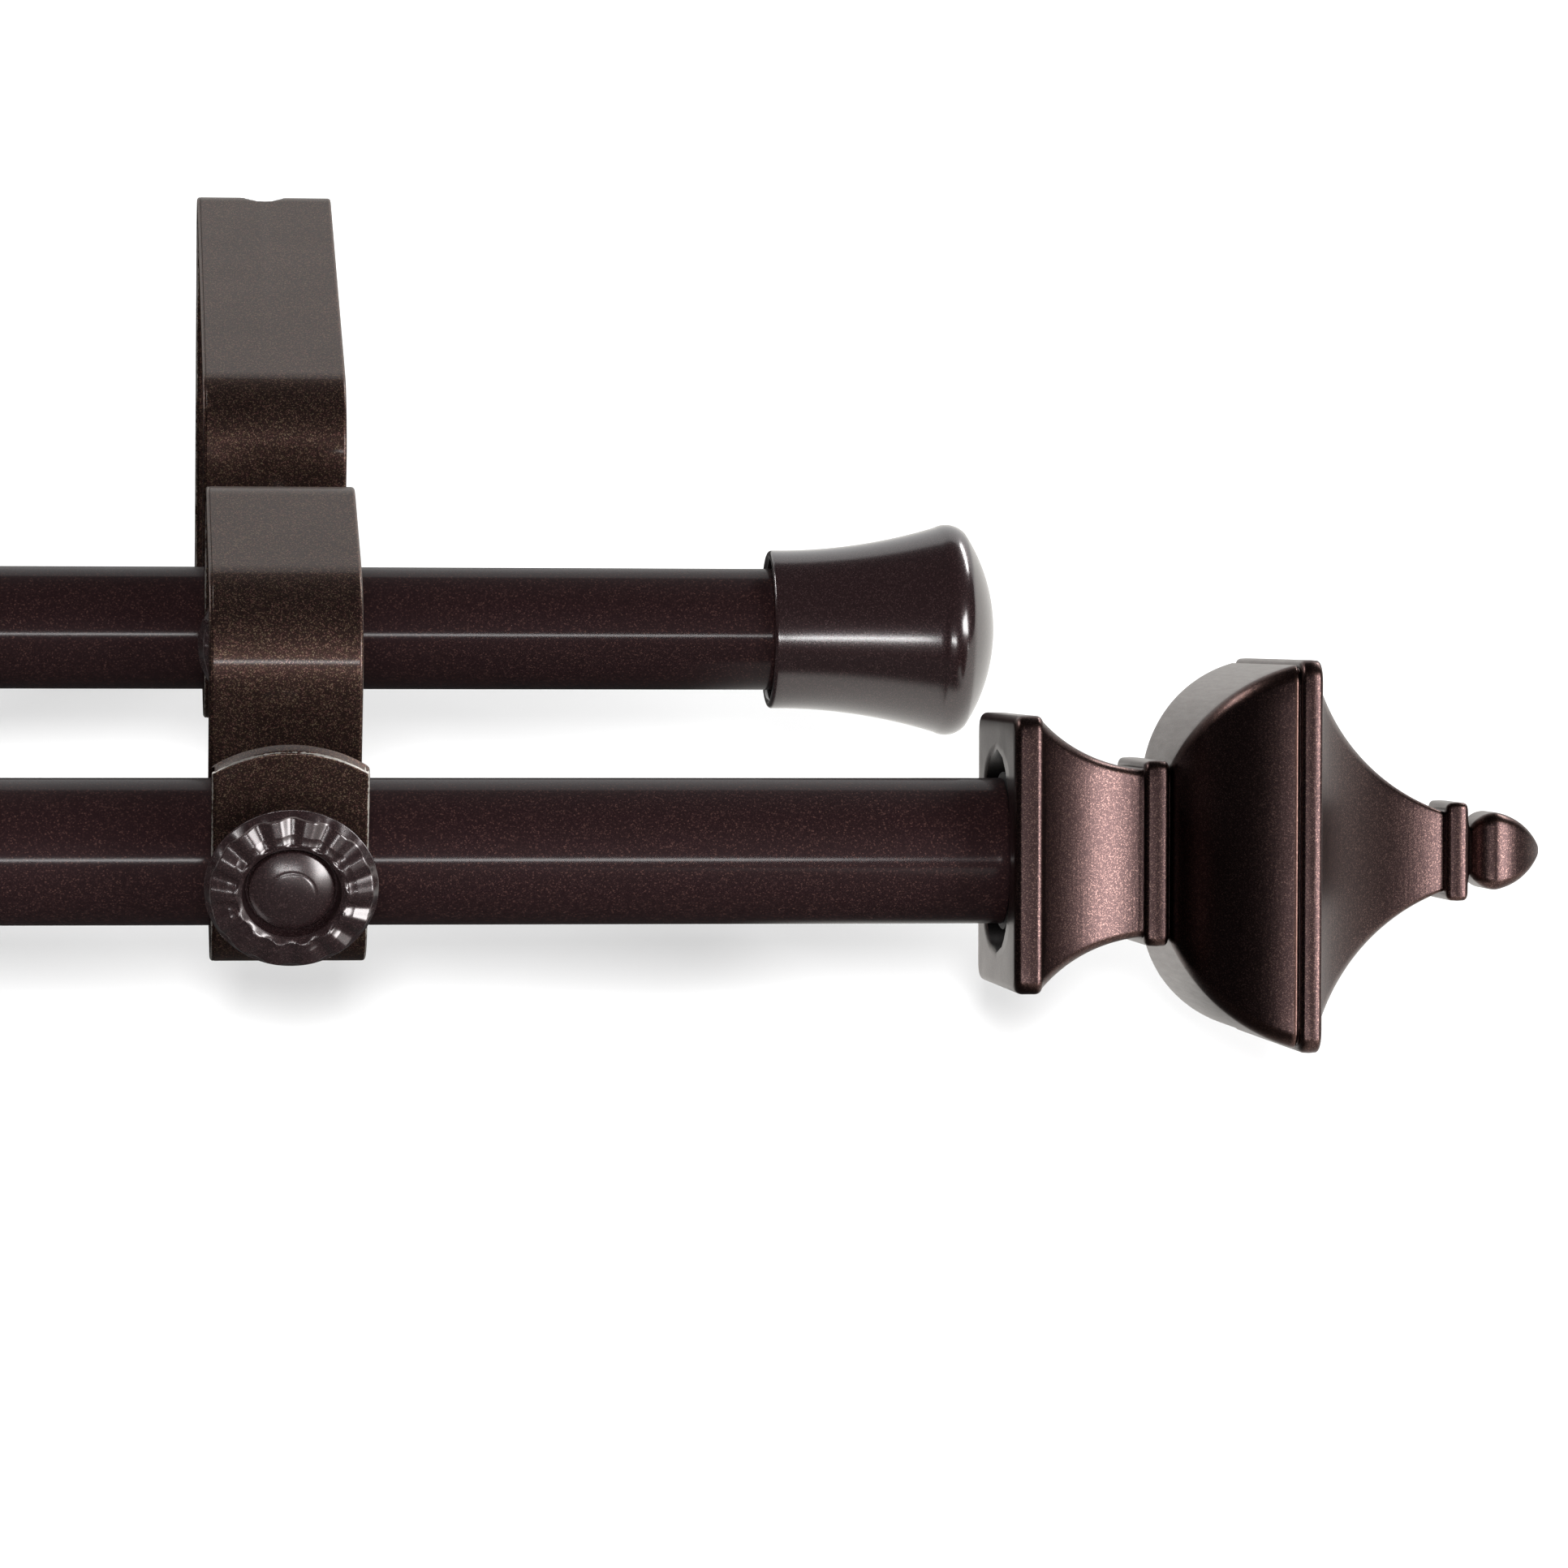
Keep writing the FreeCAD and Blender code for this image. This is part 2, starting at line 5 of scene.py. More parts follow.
import bpy
import numpy as np
from mathutils import Matrix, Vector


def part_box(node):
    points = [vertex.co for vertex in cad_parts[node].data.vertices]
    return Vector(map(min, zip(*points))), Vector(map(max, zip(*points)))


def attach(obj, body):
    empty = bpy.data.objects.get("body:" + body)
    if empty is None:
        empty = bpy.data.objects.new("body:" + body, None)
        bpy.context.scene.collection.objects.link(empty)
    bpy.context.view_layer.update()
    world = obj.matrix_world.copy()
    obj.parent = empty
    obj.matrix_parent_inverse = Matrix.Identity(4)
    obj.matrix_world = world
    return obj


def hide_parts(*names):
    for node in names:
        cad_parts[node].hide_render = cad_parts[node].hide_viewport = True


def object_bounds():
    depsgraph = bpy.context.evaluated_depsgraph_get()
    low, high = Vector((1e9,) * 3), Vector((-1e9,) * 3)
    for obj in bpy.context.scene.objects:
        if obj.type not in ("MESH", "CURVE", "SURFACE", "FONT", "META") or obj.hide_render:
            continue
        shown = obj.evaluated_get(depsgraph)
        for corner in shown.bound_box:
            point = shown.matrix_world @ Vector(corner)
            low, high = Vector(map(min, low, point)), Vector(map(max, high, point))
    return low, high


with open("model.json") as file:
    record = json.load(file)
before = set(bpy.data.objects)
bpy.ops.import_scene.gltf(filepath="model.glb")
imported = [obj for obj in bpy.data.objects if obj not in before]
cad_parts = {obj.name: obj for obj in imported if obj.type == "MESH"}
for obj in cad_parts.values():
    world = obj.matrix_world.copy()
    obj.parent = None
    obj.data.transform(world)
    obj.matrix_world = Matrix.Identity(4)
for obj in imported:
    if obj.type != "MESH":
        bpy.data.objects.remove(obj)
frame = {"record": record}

cad_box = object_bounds()

# Camera
# The photograph looks down on the right-hand end of the poles from the room, with a long lens,
# so that both poles lie level across the picture.
mm = 0.001
photo_width = 1932.0
focal_pixels = 7675.0
look_down = math.radians(25.95)
look_right = math.radians(6.06)
camera_place = (-21.1 * mm, -888.9 * mm, 369.5 * mm)

up = np.array([0.0, math.sin(look_down), math.cos(look_down)])
ahead = np.array([math.sin(look_right), math.cos(look_right) * math.cos(look_down),
                  -math.cos(look_right) * math.sin(look_down)])
across = np.cross(ahead, up)
camera_data = bpy.data.cameras.new("camera")
camera_data.sensor_width = 36.0
camera_data.lens = 36.0 * focal_pixels / photo_width
camera_data.clip_start = 0.01
camera_data.clip_end = 50.0
camera = bpy.data.objects.new("camera", camera_data)
bpy.context.scene.collection.objects.link(camera)
turn = np.eye(4)
turn[:3, 0], turn[:3, 1], turn[:3, 2], turn[:3, 3] = across, up, -ahead, camera_place
camera.matrix_world = Matrix(turn.tolist())
bpy.context.scene.camera = camera

# Strap brackets
# Each bracket is one flat steel strap, 20 mm wide, sheared off and bent in a press into a wall plate,
# an arm and two open cups. Its front lip is cropped to an arch. It is powder coated dark bronze with
# coarse flake, and the sheared edges have rubbed through to bright steel.
ends_out = {"right": 1, "left": -1}
strap_half_width = 10.0 * mm
strap_thick = 2.5 * mm
strap_round = 0.45 * mm
arm_top = 38.0 * mm
plate_bottom = -32.0 * mm
bend_inner = {"wall": 5.5 * mm, "arm": 8.2 * mm, "hump": 9.8 * mm, "cup": 6.0 * mm}
bend_order = ("wall", "arm", "cup", "cup", "hump", "hump", "cup", "cup")
back_cup_width = 20.0 * mm
front_cup_width = 22.6 * mm
cup_clearance = 0.05 * mm
lip_crown_above_axis = 20.9 * mm
lip_arch_radius = 18.2 * mm
dart_radius = 4.0 * mm
dart_depth = 2.0 * mm
dart_ends_out = 20.0 * mm
lip_rows = (0.35, 0.7, 0.93, 0.985)
screw_hole_half_pitch = 20.0 * mm
screw_hole_radius = 2.25 * mm
countersink_radius = 3.75 * mm
drill_over = 1.0 * mm


def centre_and_half(node):
    """Return a node's middle point and half sizes, from its box."""
    low, high = (np.array(corner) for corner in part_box(node))
    return (low + high) / 2, (high - low) / 2


def bent_line(corners, radii, step=math.radians(4.0)):
    """Return points, unit tangents and unit left normals along straight runs joined by tangent arcs.

    An arc of radius r that turns by a starts r * tan(a / 2) before its corner, and its point at
    angle t is centre + r * (start normal turned by t). Two extra points stand close to each arc's ends.
    """
    corners = np.array(corners, float)
    places, tangents = [corners[0]], [corners[1] - corners[0]]
    for k, radius in enumerate(radii, start=1):
        before = (corners[k] - corners[k - 1]) / np.linalg.norm(corners[k] - corners[k - 1])
        after = (corners[k + 1] - corners[k]) / np.linalg.norm(corners[k + 1] - corners[k])
        angle = math.atan2(before[0] * after[1] - before[1] * after[0], before @ after)
        reach = radius * math.tan(abs(angle) / 2)
        side = np.array([-before[1], before[0]]) * math.copysign(1.0, angle)
        start = corners[k] - before * reach
        centre = start + side * radius
        turns = np.linspace(0.0, abs(angle), max(3, int(abs(angle) / step) + 1))
        arc = centre - side * radius * np.cos(turns)[:, None] + before * radius * np.sin(turns)[:, None]
        way = before * np.cos(turns)[:, None] + side * np.sin(turns)[:, None]
        close = 0.04 * radius
        places += [start - before * close, *arc, arc[-1] + after * close]
        tangents += [before, *way, after]
    places.append(corners[-1])
    tangents.append(corners[-1] - corners[-2])
    places, tangents = np.array(places), np.array(tangents)
    tangents /= np.linalg.norm(tangents, axis=1)[:, None]
    return places, tangents, np.stack([-tangents[:, 1], tangents[:, 0]], axis=1)


def rounded_bar(half_width, half_thick, radius, inner=13, steps=5):
    """Return a strap's section as points (across, through), starting mid-way up its left edge.

    The flats have points close to the rounded corners, so that their shading stays flat.
    """
    angles = np.linspace(0.0, math.pi / 2, steps)
    corner = np.stack([np.cos(angles), np.sin(angles)], axis=1) * radius
    flat_end = half_width - radius
    flat = np.linspace(-(flat_end - 0.25 * radius), flat_end - 0.25 * radius, inner)
    top_right = corner + [flat_end, half_thick - radius]
    top_left = corner[::-1] * [-1, 1] + [-flat_end, half_thick - radius]
    top_flat = np.stack([flat, np.full(inner, half_thick)], axis=1)
    upper = np.concatenate([top_left, top_flat, top_right[::-1]])
    lower = upper[::-1] * [1, -1]
    return np.concatenate([upper, lower])


def skin(name, rings, loop=False, ladder=False, fan=False):
    """Make a smooth mesh from rings[i, j], point j round ring i, joined ring to ring by quads.

    loop joins the last ring to the first. ladder closes each end with rungs between points that face
    each other across the ring, and fan closes it with triangles to its middle. Faces are turned
    outwards by the sign of the enclosed volume, the sum of a . (b x c) / 6 over triangles.
    """
    count, around, _ = rings.shape
    points = rings.reshape(-1, 3)
    i = np.arange(count if loop else count - 1)[:, None]
    j = np.arange(around)[None, :]
    nxt, beyond = (j + 1) % around, (i + 1) % count
    quads = np.stack([i * around + j, i * around + nxt, beyond * around + nxt, beyond * around + j], -1)
    quads = quads.reshape(-1, 4)
    if ladder:
        k = np.arange(around // 2 - 1)
        rungs = np.stack([k + 1, k, around - 1 - k, around - 2 - k], -1)
        quads = np.concatenate([quads, rungs, rungs[:, ::-1] + (count - 1) * around])
    corners = [quads.reshape(-1)]
    sizes = [np.full(len(quads), 4)]
    if fan:
        tips = np.stack([rings[0].mean(0), rings[-1].mean(0)])
        points = np.concatenate([points, tips])
        k = np.arange(around)
        first = np.stack([(k + 1) % around, k, np.full(around, count * around)], -1)
        last = np.stack([k, (k + 1) % around, np.full(around, count * around + 1)], -1)
        last[:, :2] += (count - 1) * around
        fans = np.concatenate([first, last])
        corners.append(fans.reshape(-1))
        sizes.append(np.full(len(fans), 3))
    a, b, c, d = points[quads[:, 0]], points[quads[:, 1]], points[quads[:, 2]], points[quads[:, 3]]
    volume = np.sum(a * np.cross(b, c)) + np.sum(a * np.cross(c, d))
    if fan:
        a, b, c = points[fans[:, 0]], points[fans[:, 1]], points[fans[:, 2]]
        volume += np.sum(a * np.cross(b, c))
    if volume < 0:
        corners = [part.reshape(-1, size[0])[:, ::-1].reshape(-1) for part, size in zip(corners, sizes)]
    corners, sizes = np.concatenate(corners), np.concatenate(sizes)
    mesh = bpy.data.meshes.new(name)
    mesh.vertices.add(len(points))
    mesh.vertices.foreach_set("co", points.astype(np.float32).reshape(-1))
    mesh.loops.add(len(corners))
    mesh.loops.foreach_set("vertex_index", corners.astype(np.int32))
    mesh.polygons.add(len(sizes))
    mesh.polygons.foreach_set("loop_start", (np.cumsum(sizes) - sizes).astype(np.int32))
    mesh.polygons.foreach_set("loop_total", sizes.astype(np.int32))
    mesh.polygons.foreach_set("use_smooth", np.ones(len(sizes), bool))
    mesh.update(calc_edges=True)
    piece = bpy.data.objects.new(name, mesh)
    bpy.context.scene.collection.objects.link(piece)
    return piece


def mark(piece, values, name="edge"):
    """Store one number for each point of a piece, for its material to read."""
    layer = piece.data.attributes.new(name, "FLOAT", "POINT")
    layer.data.foreach_set("value", np.asarray(values, np.float32).reshape(-1))


def fitted(piece, node, material):
    """Let a piece stand for a node: the node is hidden, and the piece joins the node's body with one
    material.
    """
    bodies = frame["record"]["behaviour"]["bodies"]
    body = next(name for name, nodes in bodies.items() if node in nodes)
    piece.data.materials.append(material)
    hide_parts(node)
    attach(piece, body)
    return piece


class Value:
    """One socket of a material's nodes. Sums written with it add Math nodes to the material."""

    def __init__(self, paint, socket):
        self.paint = paint
        self.socket = socket

    def maths(self, operation, left, right):
        return self.paint.node("ShaderNodeMath", {"operation": operation}, {0: left, 1: right})

    def __add__(self, other):
        return self.maths("ADD", self, other)

    def __sub__(self, other):
        return self.maths("SUBTRACT", self, other)

    def __rsub__(self, other):
        return self.maths("SUBTRACT", other, self)

    def __mul__(self, other):
        return self.maths("MULTIPLY", self, other)

    def larger(self, other):
        return self.maths("MAXIMUM", self, other)

    __radd__ = __add__
    __rmul__ = __mul__


class Paint:
    """A material under construction: its nodes are added by one method, node."""

    def __init__(self, name):
        self.material = bpy.data.materials.new(name)
        self.material.use_nodes = True
        self.tree = self.material.node_tree
        self.tree.nodes.clear()

    def node(self, kind, settings=None, sockets=None, out=0):
        """Add a node: settings first, a colour ramp's stops among them, then values or links by socket."""
        node = self.tree.nodes.new(kind)
        for key, value in (settings or {}).items():
            if key == "stops":
                ramp = node.color_ramp.elements
                while len(ramp) < len(value):
                    ramp.new(1.0)
                for stop, (position, colour) in zip(ramp, value):
                    stop.position = position
                    stop.color = (*colour, 1.0)
            else:
                setattr(node, key, value)
        for key, value in (sockets or {}).items():
            if isinstance(value, Value):
                self.tree.links.new(value.socket, node.inputs[key])
            else:
                node.inputs[key].default_value = value
        return Value(self, node.outputs[out])

    def place(self):
        return self.node("ShaderNodeTexCoord", out="Object")

    def noise(self, size, detail=2.0, roughness=0.5, at=None):
        """Noise from 0 to 1 whose blobs are about size metres across."""
        return self.node("ShaderNodeTexNoise", {}, {"Vector": at or self.place(), "Scale": 1.0 / size,
                                                   "Detail": detail, "Roughness": roughness})

    def flakes(self, size):
        """A random number from 0 to 1 for each flake, on cells of size metres."""
        cells = {"Vector": self.place(), "Scale": 1.0 / size}
        colour = self.node("ShaderNodeTexVoronoi", {}, cells, out="Color")
        return self.node("ShaderNodeSeparateColor", {}, {"Color": colour})

    def stored(self, name):
        """The number that mark stored for each point."""
        return self.node("ShaderNodeAttribute", {"attribute_name": name}, out="Fac")

    def ramp(self, value, *stops):
        """Colour by value, from stops of (value, (red, green, blue))."""
        return self.node("ShaderNodeValToRGB", {"stops": stops}, {0: value})

    def rise(self, value, low, high):
        """0 below low, 1 above high, smooth between."""
        return self.node("ShaderNodeMapRange", {"interpolation_type": "SMOOTHSTEP"},
                         {"Value": value, "From Min": low, "From Max": high})

    def blend(self, amount, first, second):
        """Colour first turned to second by amount."""
        return self.node("ShaderNodeMix", {"data_type": "RGBA"}, {0: amount, 6: first, 7: second}, out=2)

    def bump(self, height, depth, strength=1.0):
        return self.node("ShaderNodeBump", {}, {"Height": height, "Distance": depth, "Strength": strength})

    def done(self, **sockets):
        """Close the material with a Principled surface; names with _ for spaces."""
        named = {key.replace("_", " "): value for key, value in sockets.items()}
        surface = self.node("ShaderNodeBsdfPrincipled", {}, named)
        output = self.tree.nodes.new("ShaderNodeOutputMaterial")
        self.tree.links.new(surface.socket, output.inputs["Surface"])
        return self.material


def strap_paint():
    """Dark bronze powder coat with coarse gold and red flake, rubbed bright along marked edges."""
    paint = Paint("strap_paint")
    flake = paint.flakes(0.13 * mm)
    hue = paint.flakes(0.31 * mm)
    gold = paint.ramp(flake, (0.0, (0.043, 0.0275, 0.0235)), (0.65, (0.054, 0.0345, 0.0295)),
                      (0.85, (0.15, 0.100, 0.065)), (0.98, (0.26, 0.20, 0.14)))
    red = paint.ramp(flake, (0.0, (0.043, 0.0245, 0.0235)), (0.65, (0.054, 0.0300, 0.0290)),
                     (0.85, (0.15, 0.072, 0.066)), (0.98, (0.26, 0.14, 0.12)))
    tint = paint.blend(hue, gold, red)
    cloud = paint.noise(9.0 * mm)
    body = paint.blend(cloud * 0.4, tint, (0.014, 0.007, 0.006, 1.0))
    edge = paint.stored("edge")
    ragged = paint.noise(0.6 * mm, detail=4.0, roughness=0.7) * 0.8 + paint.noise(7.0 * mm) * 0.8
    worn = paint.rise(edge + ragged, 1.55, 1.7)
    colour = paint.blend(worn, body, (0.55, 0.52, 0.48, 1.0))
    peel = paint.noise(0.7 * mm, detail=3.0)
    swell = paint.noise(14.0 * mm, detail=1.0)
    bump = paint.bump(peel * 0.012 + swell * 0.25 - worn * 0.1, 1.0 * mm, 0.6)
    return paint.done(Base_Color=colour, Metallic=0.95, Roughness=0.42 + flake * 0.1,
                      Specular_IOR_Level=0.1, Normal=bump, Coat_Weight=0.27 - worn * 0.27,
                      Coat_Roughness=0.12, Coat_Tint=(1.0, 0.95, 0.82, 1.0))


strap_material = strap_paint()
for end in ends_out:
    middle, _ = centre_and_half("bracket_" + end)
    axis_out = {}
    for row in ("front", "back"):
        tube_middle, tube_half = centre_and_half(row + "_tube_outer")
        axis_out[row] = (-tube_middle[1], tube_middle[2], tube_half[2])
    through = strap_thick / 2
    floor_back = axis_out["back"][1] - axis_out["back"][2] - cup_clearance - through
    floor_front = axis_out["front"][1] - axis_out["front"][2] - cup_clearance - through
    back_near = axis_out["back"][0] - back_cup_width / 2 - through
    back_far = axis_out["back"][0] + back_cup_width / 2 + through
    front_near = axis_out["front"][0] - front_cup_width / 2 - through
    front_far = axis_out["front"][0] + front_cup_width / 2 + through
    lip_foot = axis_out["front"][1]
    arm_line = arm_top - through
    route = [(through, plate_bottom + strap_round), (through, arm_line), (back_near, arm_line),
             (back_near, floor_back), (back_far, floor_back), (back_far, arm_line), (front_near, arm_line),
             (front_near, floor_front), (front_far, floor_front), (front_far, lip_foot)]
    bends = [bend_inner[name] + through for name in bend_order]
    line, way, left = bent_line(route, bends)
    section = rounded_bar(strap_half_width, through, strap_round, inner=33)
    x = section[:, 0] + middle[0]
    out = line[:, 0][:, None] + left[:, 0][:, None] * section[:, 1]
    high = line[:, 1][:, None] + left[:, 1][:, None] * section[:, 1]

    # The dart: where the bend's skin stands above the dart's floor, it is pushed in along 45 degrees.
    # Beside the dart there is no floor to reach, so it is given as endlessly high.
    bend_outer = bend_inner["wall"] + strap_thick
    diagonal = math.sqrt(0.5)
    bend_high = (line[:, 1] - (arm_top - bend_outer)) * diagonal - (line[:, 0] - bend_outer) * diagonal
    bend_high = bend_high + through - bend_outer
    across_dart = np.clip(1 - (section[:, 0] / dart_radius) ** 2, 0.0, None)
    dent = -dart_depth + dart_radius - dart_radius * np.sqrt(across_dart)
    dent = np.where(np.abs(section[:, 0]) < dart_radius, dent, np.inf)
    push = np.minimum(0.0, dent[None, :] - bend_high[:, None])
    push = np.where((line[:, 0] < dart_ends_out)[:, None], push, 0.0)
    out = out - push * diagonal
    high = high + push * diagonal

    # The lip runs up from its foot to the arch, and both ends of the strap are rounded over.
    crown = axis_out["front"][1] + lip_crown_above_axis
    arch = crown - lip_arch_radius + np.sqrt(lip_arch_radius ** 2 - section[:, 0] ** 2)
    shares = np.array(lip_rows)[:, None]
    lip_high = lip_foot + (arch - strap_round - lip_foot)[None, :] * shares
    lip_out = np.repeat((front_far + section[:, 1] * left[-1, 0])[None, :], len(shares), axis=0)
    bevel = np.radians([0.0, 22.5, 45.0, 67.5, 90.0])[:, None]
    inset = 1 - strap_round * (1 - np.cos(bevel)) / through
    narrowed = section[:, 0] * (1 - strap_round * (1 - np.cos(bevel)) / strap_half_width)
    top_high = (arch - strap_round)[None, :] + strap_round * np.sin(bevel)
    top_out = front_far + section[:, 1] * left[-1, 0] * inset
    foot_high = plate_bottom + strap_round * (1 - np.sin(bevel[::-1][:-1])) + 0 * section[:, 0]
    foot_out = through + section[:, 1] * left[0, 0] * inset[::-1][:-1]
    ends_x = narrowed + middle[0]
    straight_x = np.repeat(x[None, :], len(line) + len(shares), axis=0)
    all_x = np.concatenate([ends_x[::-1][:-1], straight_x, ends_x])
    all_out = np.concatenate([foot_out, out, lip_out, top_out])
    all_high = np.concatenate([foot_high, high, lip_high, top_high])
    bracket = skin("strap_bracket_" + end, np.stack([all_x, -all_out, all_high], axis=2), ladder=True)
    side_share = (np.abs(section[:, 0]) - (strap_half_width - strap_round)) / strap_round
    face_share = (np.abs(section[:, 1]) - (through - strap_round)) / strap_round
    on_corner = np.clip(side_share, 0.0, 1.0) * np.clip(face_share, 0.0, 1.0) * 2
    rubbed = np.repeat((on_corner * np.where(section[:, 1] < 0, 1.0, 0.6))[None, :], len(all_x), axis=0)
    lip_corner = np.sin(2 * bevel) * (section[:, 1] < 0)[None, :]
    rubbed[-len(bevel):] = np.maximum(rubbed[-len(bevel):], lip_corner)
    mark(bracket, rubbed)

    # Two countersunk screw holes, one above the other, are drilled through the wall plate.
    sink = countersink_radius - screw_hole_radius
    depth = np.array([-drill_over, strap_thick - sink, strap_thick, strap_thick + drill_over])
    radius = np.array([screw_hole_radius, screw_hole_radius, countersink_radius, countersink_radius])
    angle = np.linspace(0, 2 * math.pi, 48, endpoint=False)
    for side in (-1, 1):
        rings = np.stack([middle[0] + radius[:, None] * np.cos(angle), -depth[:, None] + 0 * angle,
                          side * screw_hole_half_pitch + radius[:, None] * np.sin(angle)], axis=2)
        drill = skin("drill", rings, fan=True)
        cut = bracket.modifiers.new("hole", "BOOLEAN")
        cut.operation = "DIFFERENCE"
        cut.solver = "EXACT"
        cut.object = drill
        bpy.context.view_layer.update()
        view = bracket.evaluated_get(bpy.context.evaluated_depsgraph_get())
        holed = bpy.data.meshes.new_from_object(view)
        bracket.modifiers.clear()
        bracket.data = holed
        bpy.data.objects.remove(drill)
    bracket.data.set_sharp_from_angle(angle=math.radians(35))
    fitted(bracket, "bracket_" + end, strap_material)

# Poles
# Each pole is two drawn steel tubes, the thin one sliding in the thick one, cut square, deburred and
# sprayed dark bronze with a fine flake under a glossy lacquer.
tube_wall = 0.8 * mm
tube_deburr = 0.15 * mm


def outline(points, radius, steps=5):
    """Return a closed outline's points (length, radius) with every corner rounded by a small arc."""
    points = np.array(points, float)
    start = (points[0] + points[1]) / 2
    corners = [start, *points[1:], points[0], start]
    line, _, _ = bent_line(corners, [radius] * len(points), step=math.pi / 2 / steps)
    return line[:-1]


def turned(name, profile, base, direction, around=96, loop=True, fan=False):
    """Turn an outline of (length, radius) about the line along X through base, running direction."""
    angle = np.linspace(0.0, 2 * math.pi, around, endpoint=False)
    length, radius = profile[:, 0][:, None], profile[:, 1][:, None]
    rings = np.stack([base[0] + direction * length + 0 * angle, base[1] + radius * np.cos(angle),
                      base[2] + radius * np.sin(angle)], axis=2)
    return skin(name, rings, loop=loop, fan=fan)


def pole_paint():
    """Smooth dark bronze paint with a fine reddish flake under clear lacquer."""
    paint = Paint("pole_paint")
    flake = paint.flakes(0.16 * mm)
    cloud = paint.noise(22.0 * mm, detail=3.0)
    fine = paint.ramp(flake, (0.0, (0.0110, 0.0046, 0.0052)), (0.70, (0.0135, 0.0056, 0.0062)),
                      (0.90, (0.026, 0.0115, 0.0112)), (1.0, (0.055, 0.026, 0.022)))
    colour = paint.blend(cloud * 0.35, fine, (0.0080, 0.0040, 0.0045, 1.0))
    peel = paint.noise(1.4 * mm, detail=2.0)
    return paint.done(Base_Color=colour, Metallic=0.4, Roughness=0.46 + flake * 0.12, Specular_IOR_Level=0.1,
                      Normal=paint.bump(peel, 0.012 * mm), Coat_Weight=0.34, Coat_Roughness=0.13)


pole_material = pole_paint()
for row in ("front", "back"):
    for kind in ("outer", "inner"):
        node = f"{row}_tube_{kind}"
        middle, half = centre_and_half(node)
        length, radius = 2 * half[0], half[2]
        bore = radius - tube_wall
        profile = outline([(0, bore), (0, radius), (length, radius), (length, bore)], tube_deburr)
        tube = turned(f"{row}_pole_{kind}", profile, middle - [half[0], 0, 0], 1, around=160)
        fitted(tube, node, pole_material)

# Plastic guides
# The thick tube's left end has a moulded sleeve with a lip, the thin tube's hidden end a glide, and
# the left cup a collar that packs the thin tube up to the thick tube's size. All are black nylon.
moulding_round = 0.2 * mm
guide_wall = {"front": (8.05 * mm, 8.675 * mm), "back": (7.05 * mm, 7.65 * mm)}
sleeve_lip = 1.6 * mm
glide_head = 4.0 * mm
glide_bore = {"front": 5.55 * mm, "back": 4.55 * mm}
glide_stem = {"front": 7.15 * mm, "back": 6.15 * mm}


def moulded_plastic():
    """Black nylon straight from the mould: fine spark-eroded grain, slightly greasy sheen."""
    paint = Paint("moulded_plastic")
    grain = paint.noise(0.12 * mm, detail=3.0)
    cloud = paint.noise(6.0 * mm)
    colour = paint.blend(cloud, (0.010, 0.009, 0.009, 1.0), (0.018, 0.016, 0.016, 1.0))
    return paint.done(Base_Color=colour, Roughness=0.45 + grain * 0.2,
                      Normal=paint.bump(grain, 0.02 * mm))


plastic_material = moulded_plastic()
for row in ("front", "back"):
    bore, body_radius = guide_wall[row]
    for name in ("guide_sleeve", "glide", "pole_collar"):
        node = f"{row}_{name}"
        middle, half = centre_and_half(node)
        length, radius = 2 * half[0], half[2]
        if name == "guide_sleeve":
            points = [(0, bore), (0, radius), (sleeve_lip, radius), (sleeve_lip, body_radius),
                      (length, body_radius), (length, bore)]
        elif name == "glide":
            stem = length - glide_head
            points = [(0, glide_bore[row]), (0, glide_stem[row]), (stem, glide_stem[row]), (stem, radius),
                      (length - 0.8 * mm, radius), (length, radius - 0.8 * mm), (length, glide_bore[row])]
        else:
            points = [(0, bore), (0, radius), (length, radius), (length, bore)]
        profile = outline(points, moulding_round)
        guide = turned(node + "_moulding", profile, middle - [half[0], 0, 0], 1)
        fitted(guide, node, plastic_material)

# Thumb screws
# A rolled M5 steel stud is pressed into a die-cast knob: a ring with radial flutes, that falls outwards
# to a plain rim, round a groove and a domed boss with one engraved ring. The screw pinches the pole.
stud_pitch = 0.8 * mm
stud_thread = 0.45 * mm
knob_front = 11.4 * mm
knob_rim = 2.4 * mm
knob_fall = 0.8 * mm
knob_dish = 1.7 * mm
knob_throat = 0.8 * mm
knob_cone = 3.2 * mm
knob_hub_radius = 4.8 * mm
boss_radius = 5.4 * mm
boss_rise = 1.6 * mm
ring_crest = 7.0 * mm
groove_depth = 1.1 * mm
flute_count = 14
flute_depth = 1.0 * mm
flute_waves = 1.18
flute_start = 0.55
flute_run_out = 0.5 * mm
engraved_radius = 3.0 * mm
engraved_depth = 0.10 * mm
engraved_width = 0.12 * mm
hub_bore_radius = 2.6 * mm
knob_round = 0.3 * mm
throat_round = 0.5 * mm


def plated_thread():
    """Bright zinc plate on a rolled thread, with dull patches."""
    paint = Paint("plated_thread")
    cloud = paint.noise(1.5 * mm, detail=4.0)
    colour = paint.blend(cloud, (0.50, 0.49, 0.46, 1.0), (0.66, 0.65, 0.62, 1.0))
    return paint.done(Base_Color=colour, Metallic=1.0, Roughness=0.22 + cloud * 0.25,
                      Normal=paint.bump(cloud, 0.02 * mm))


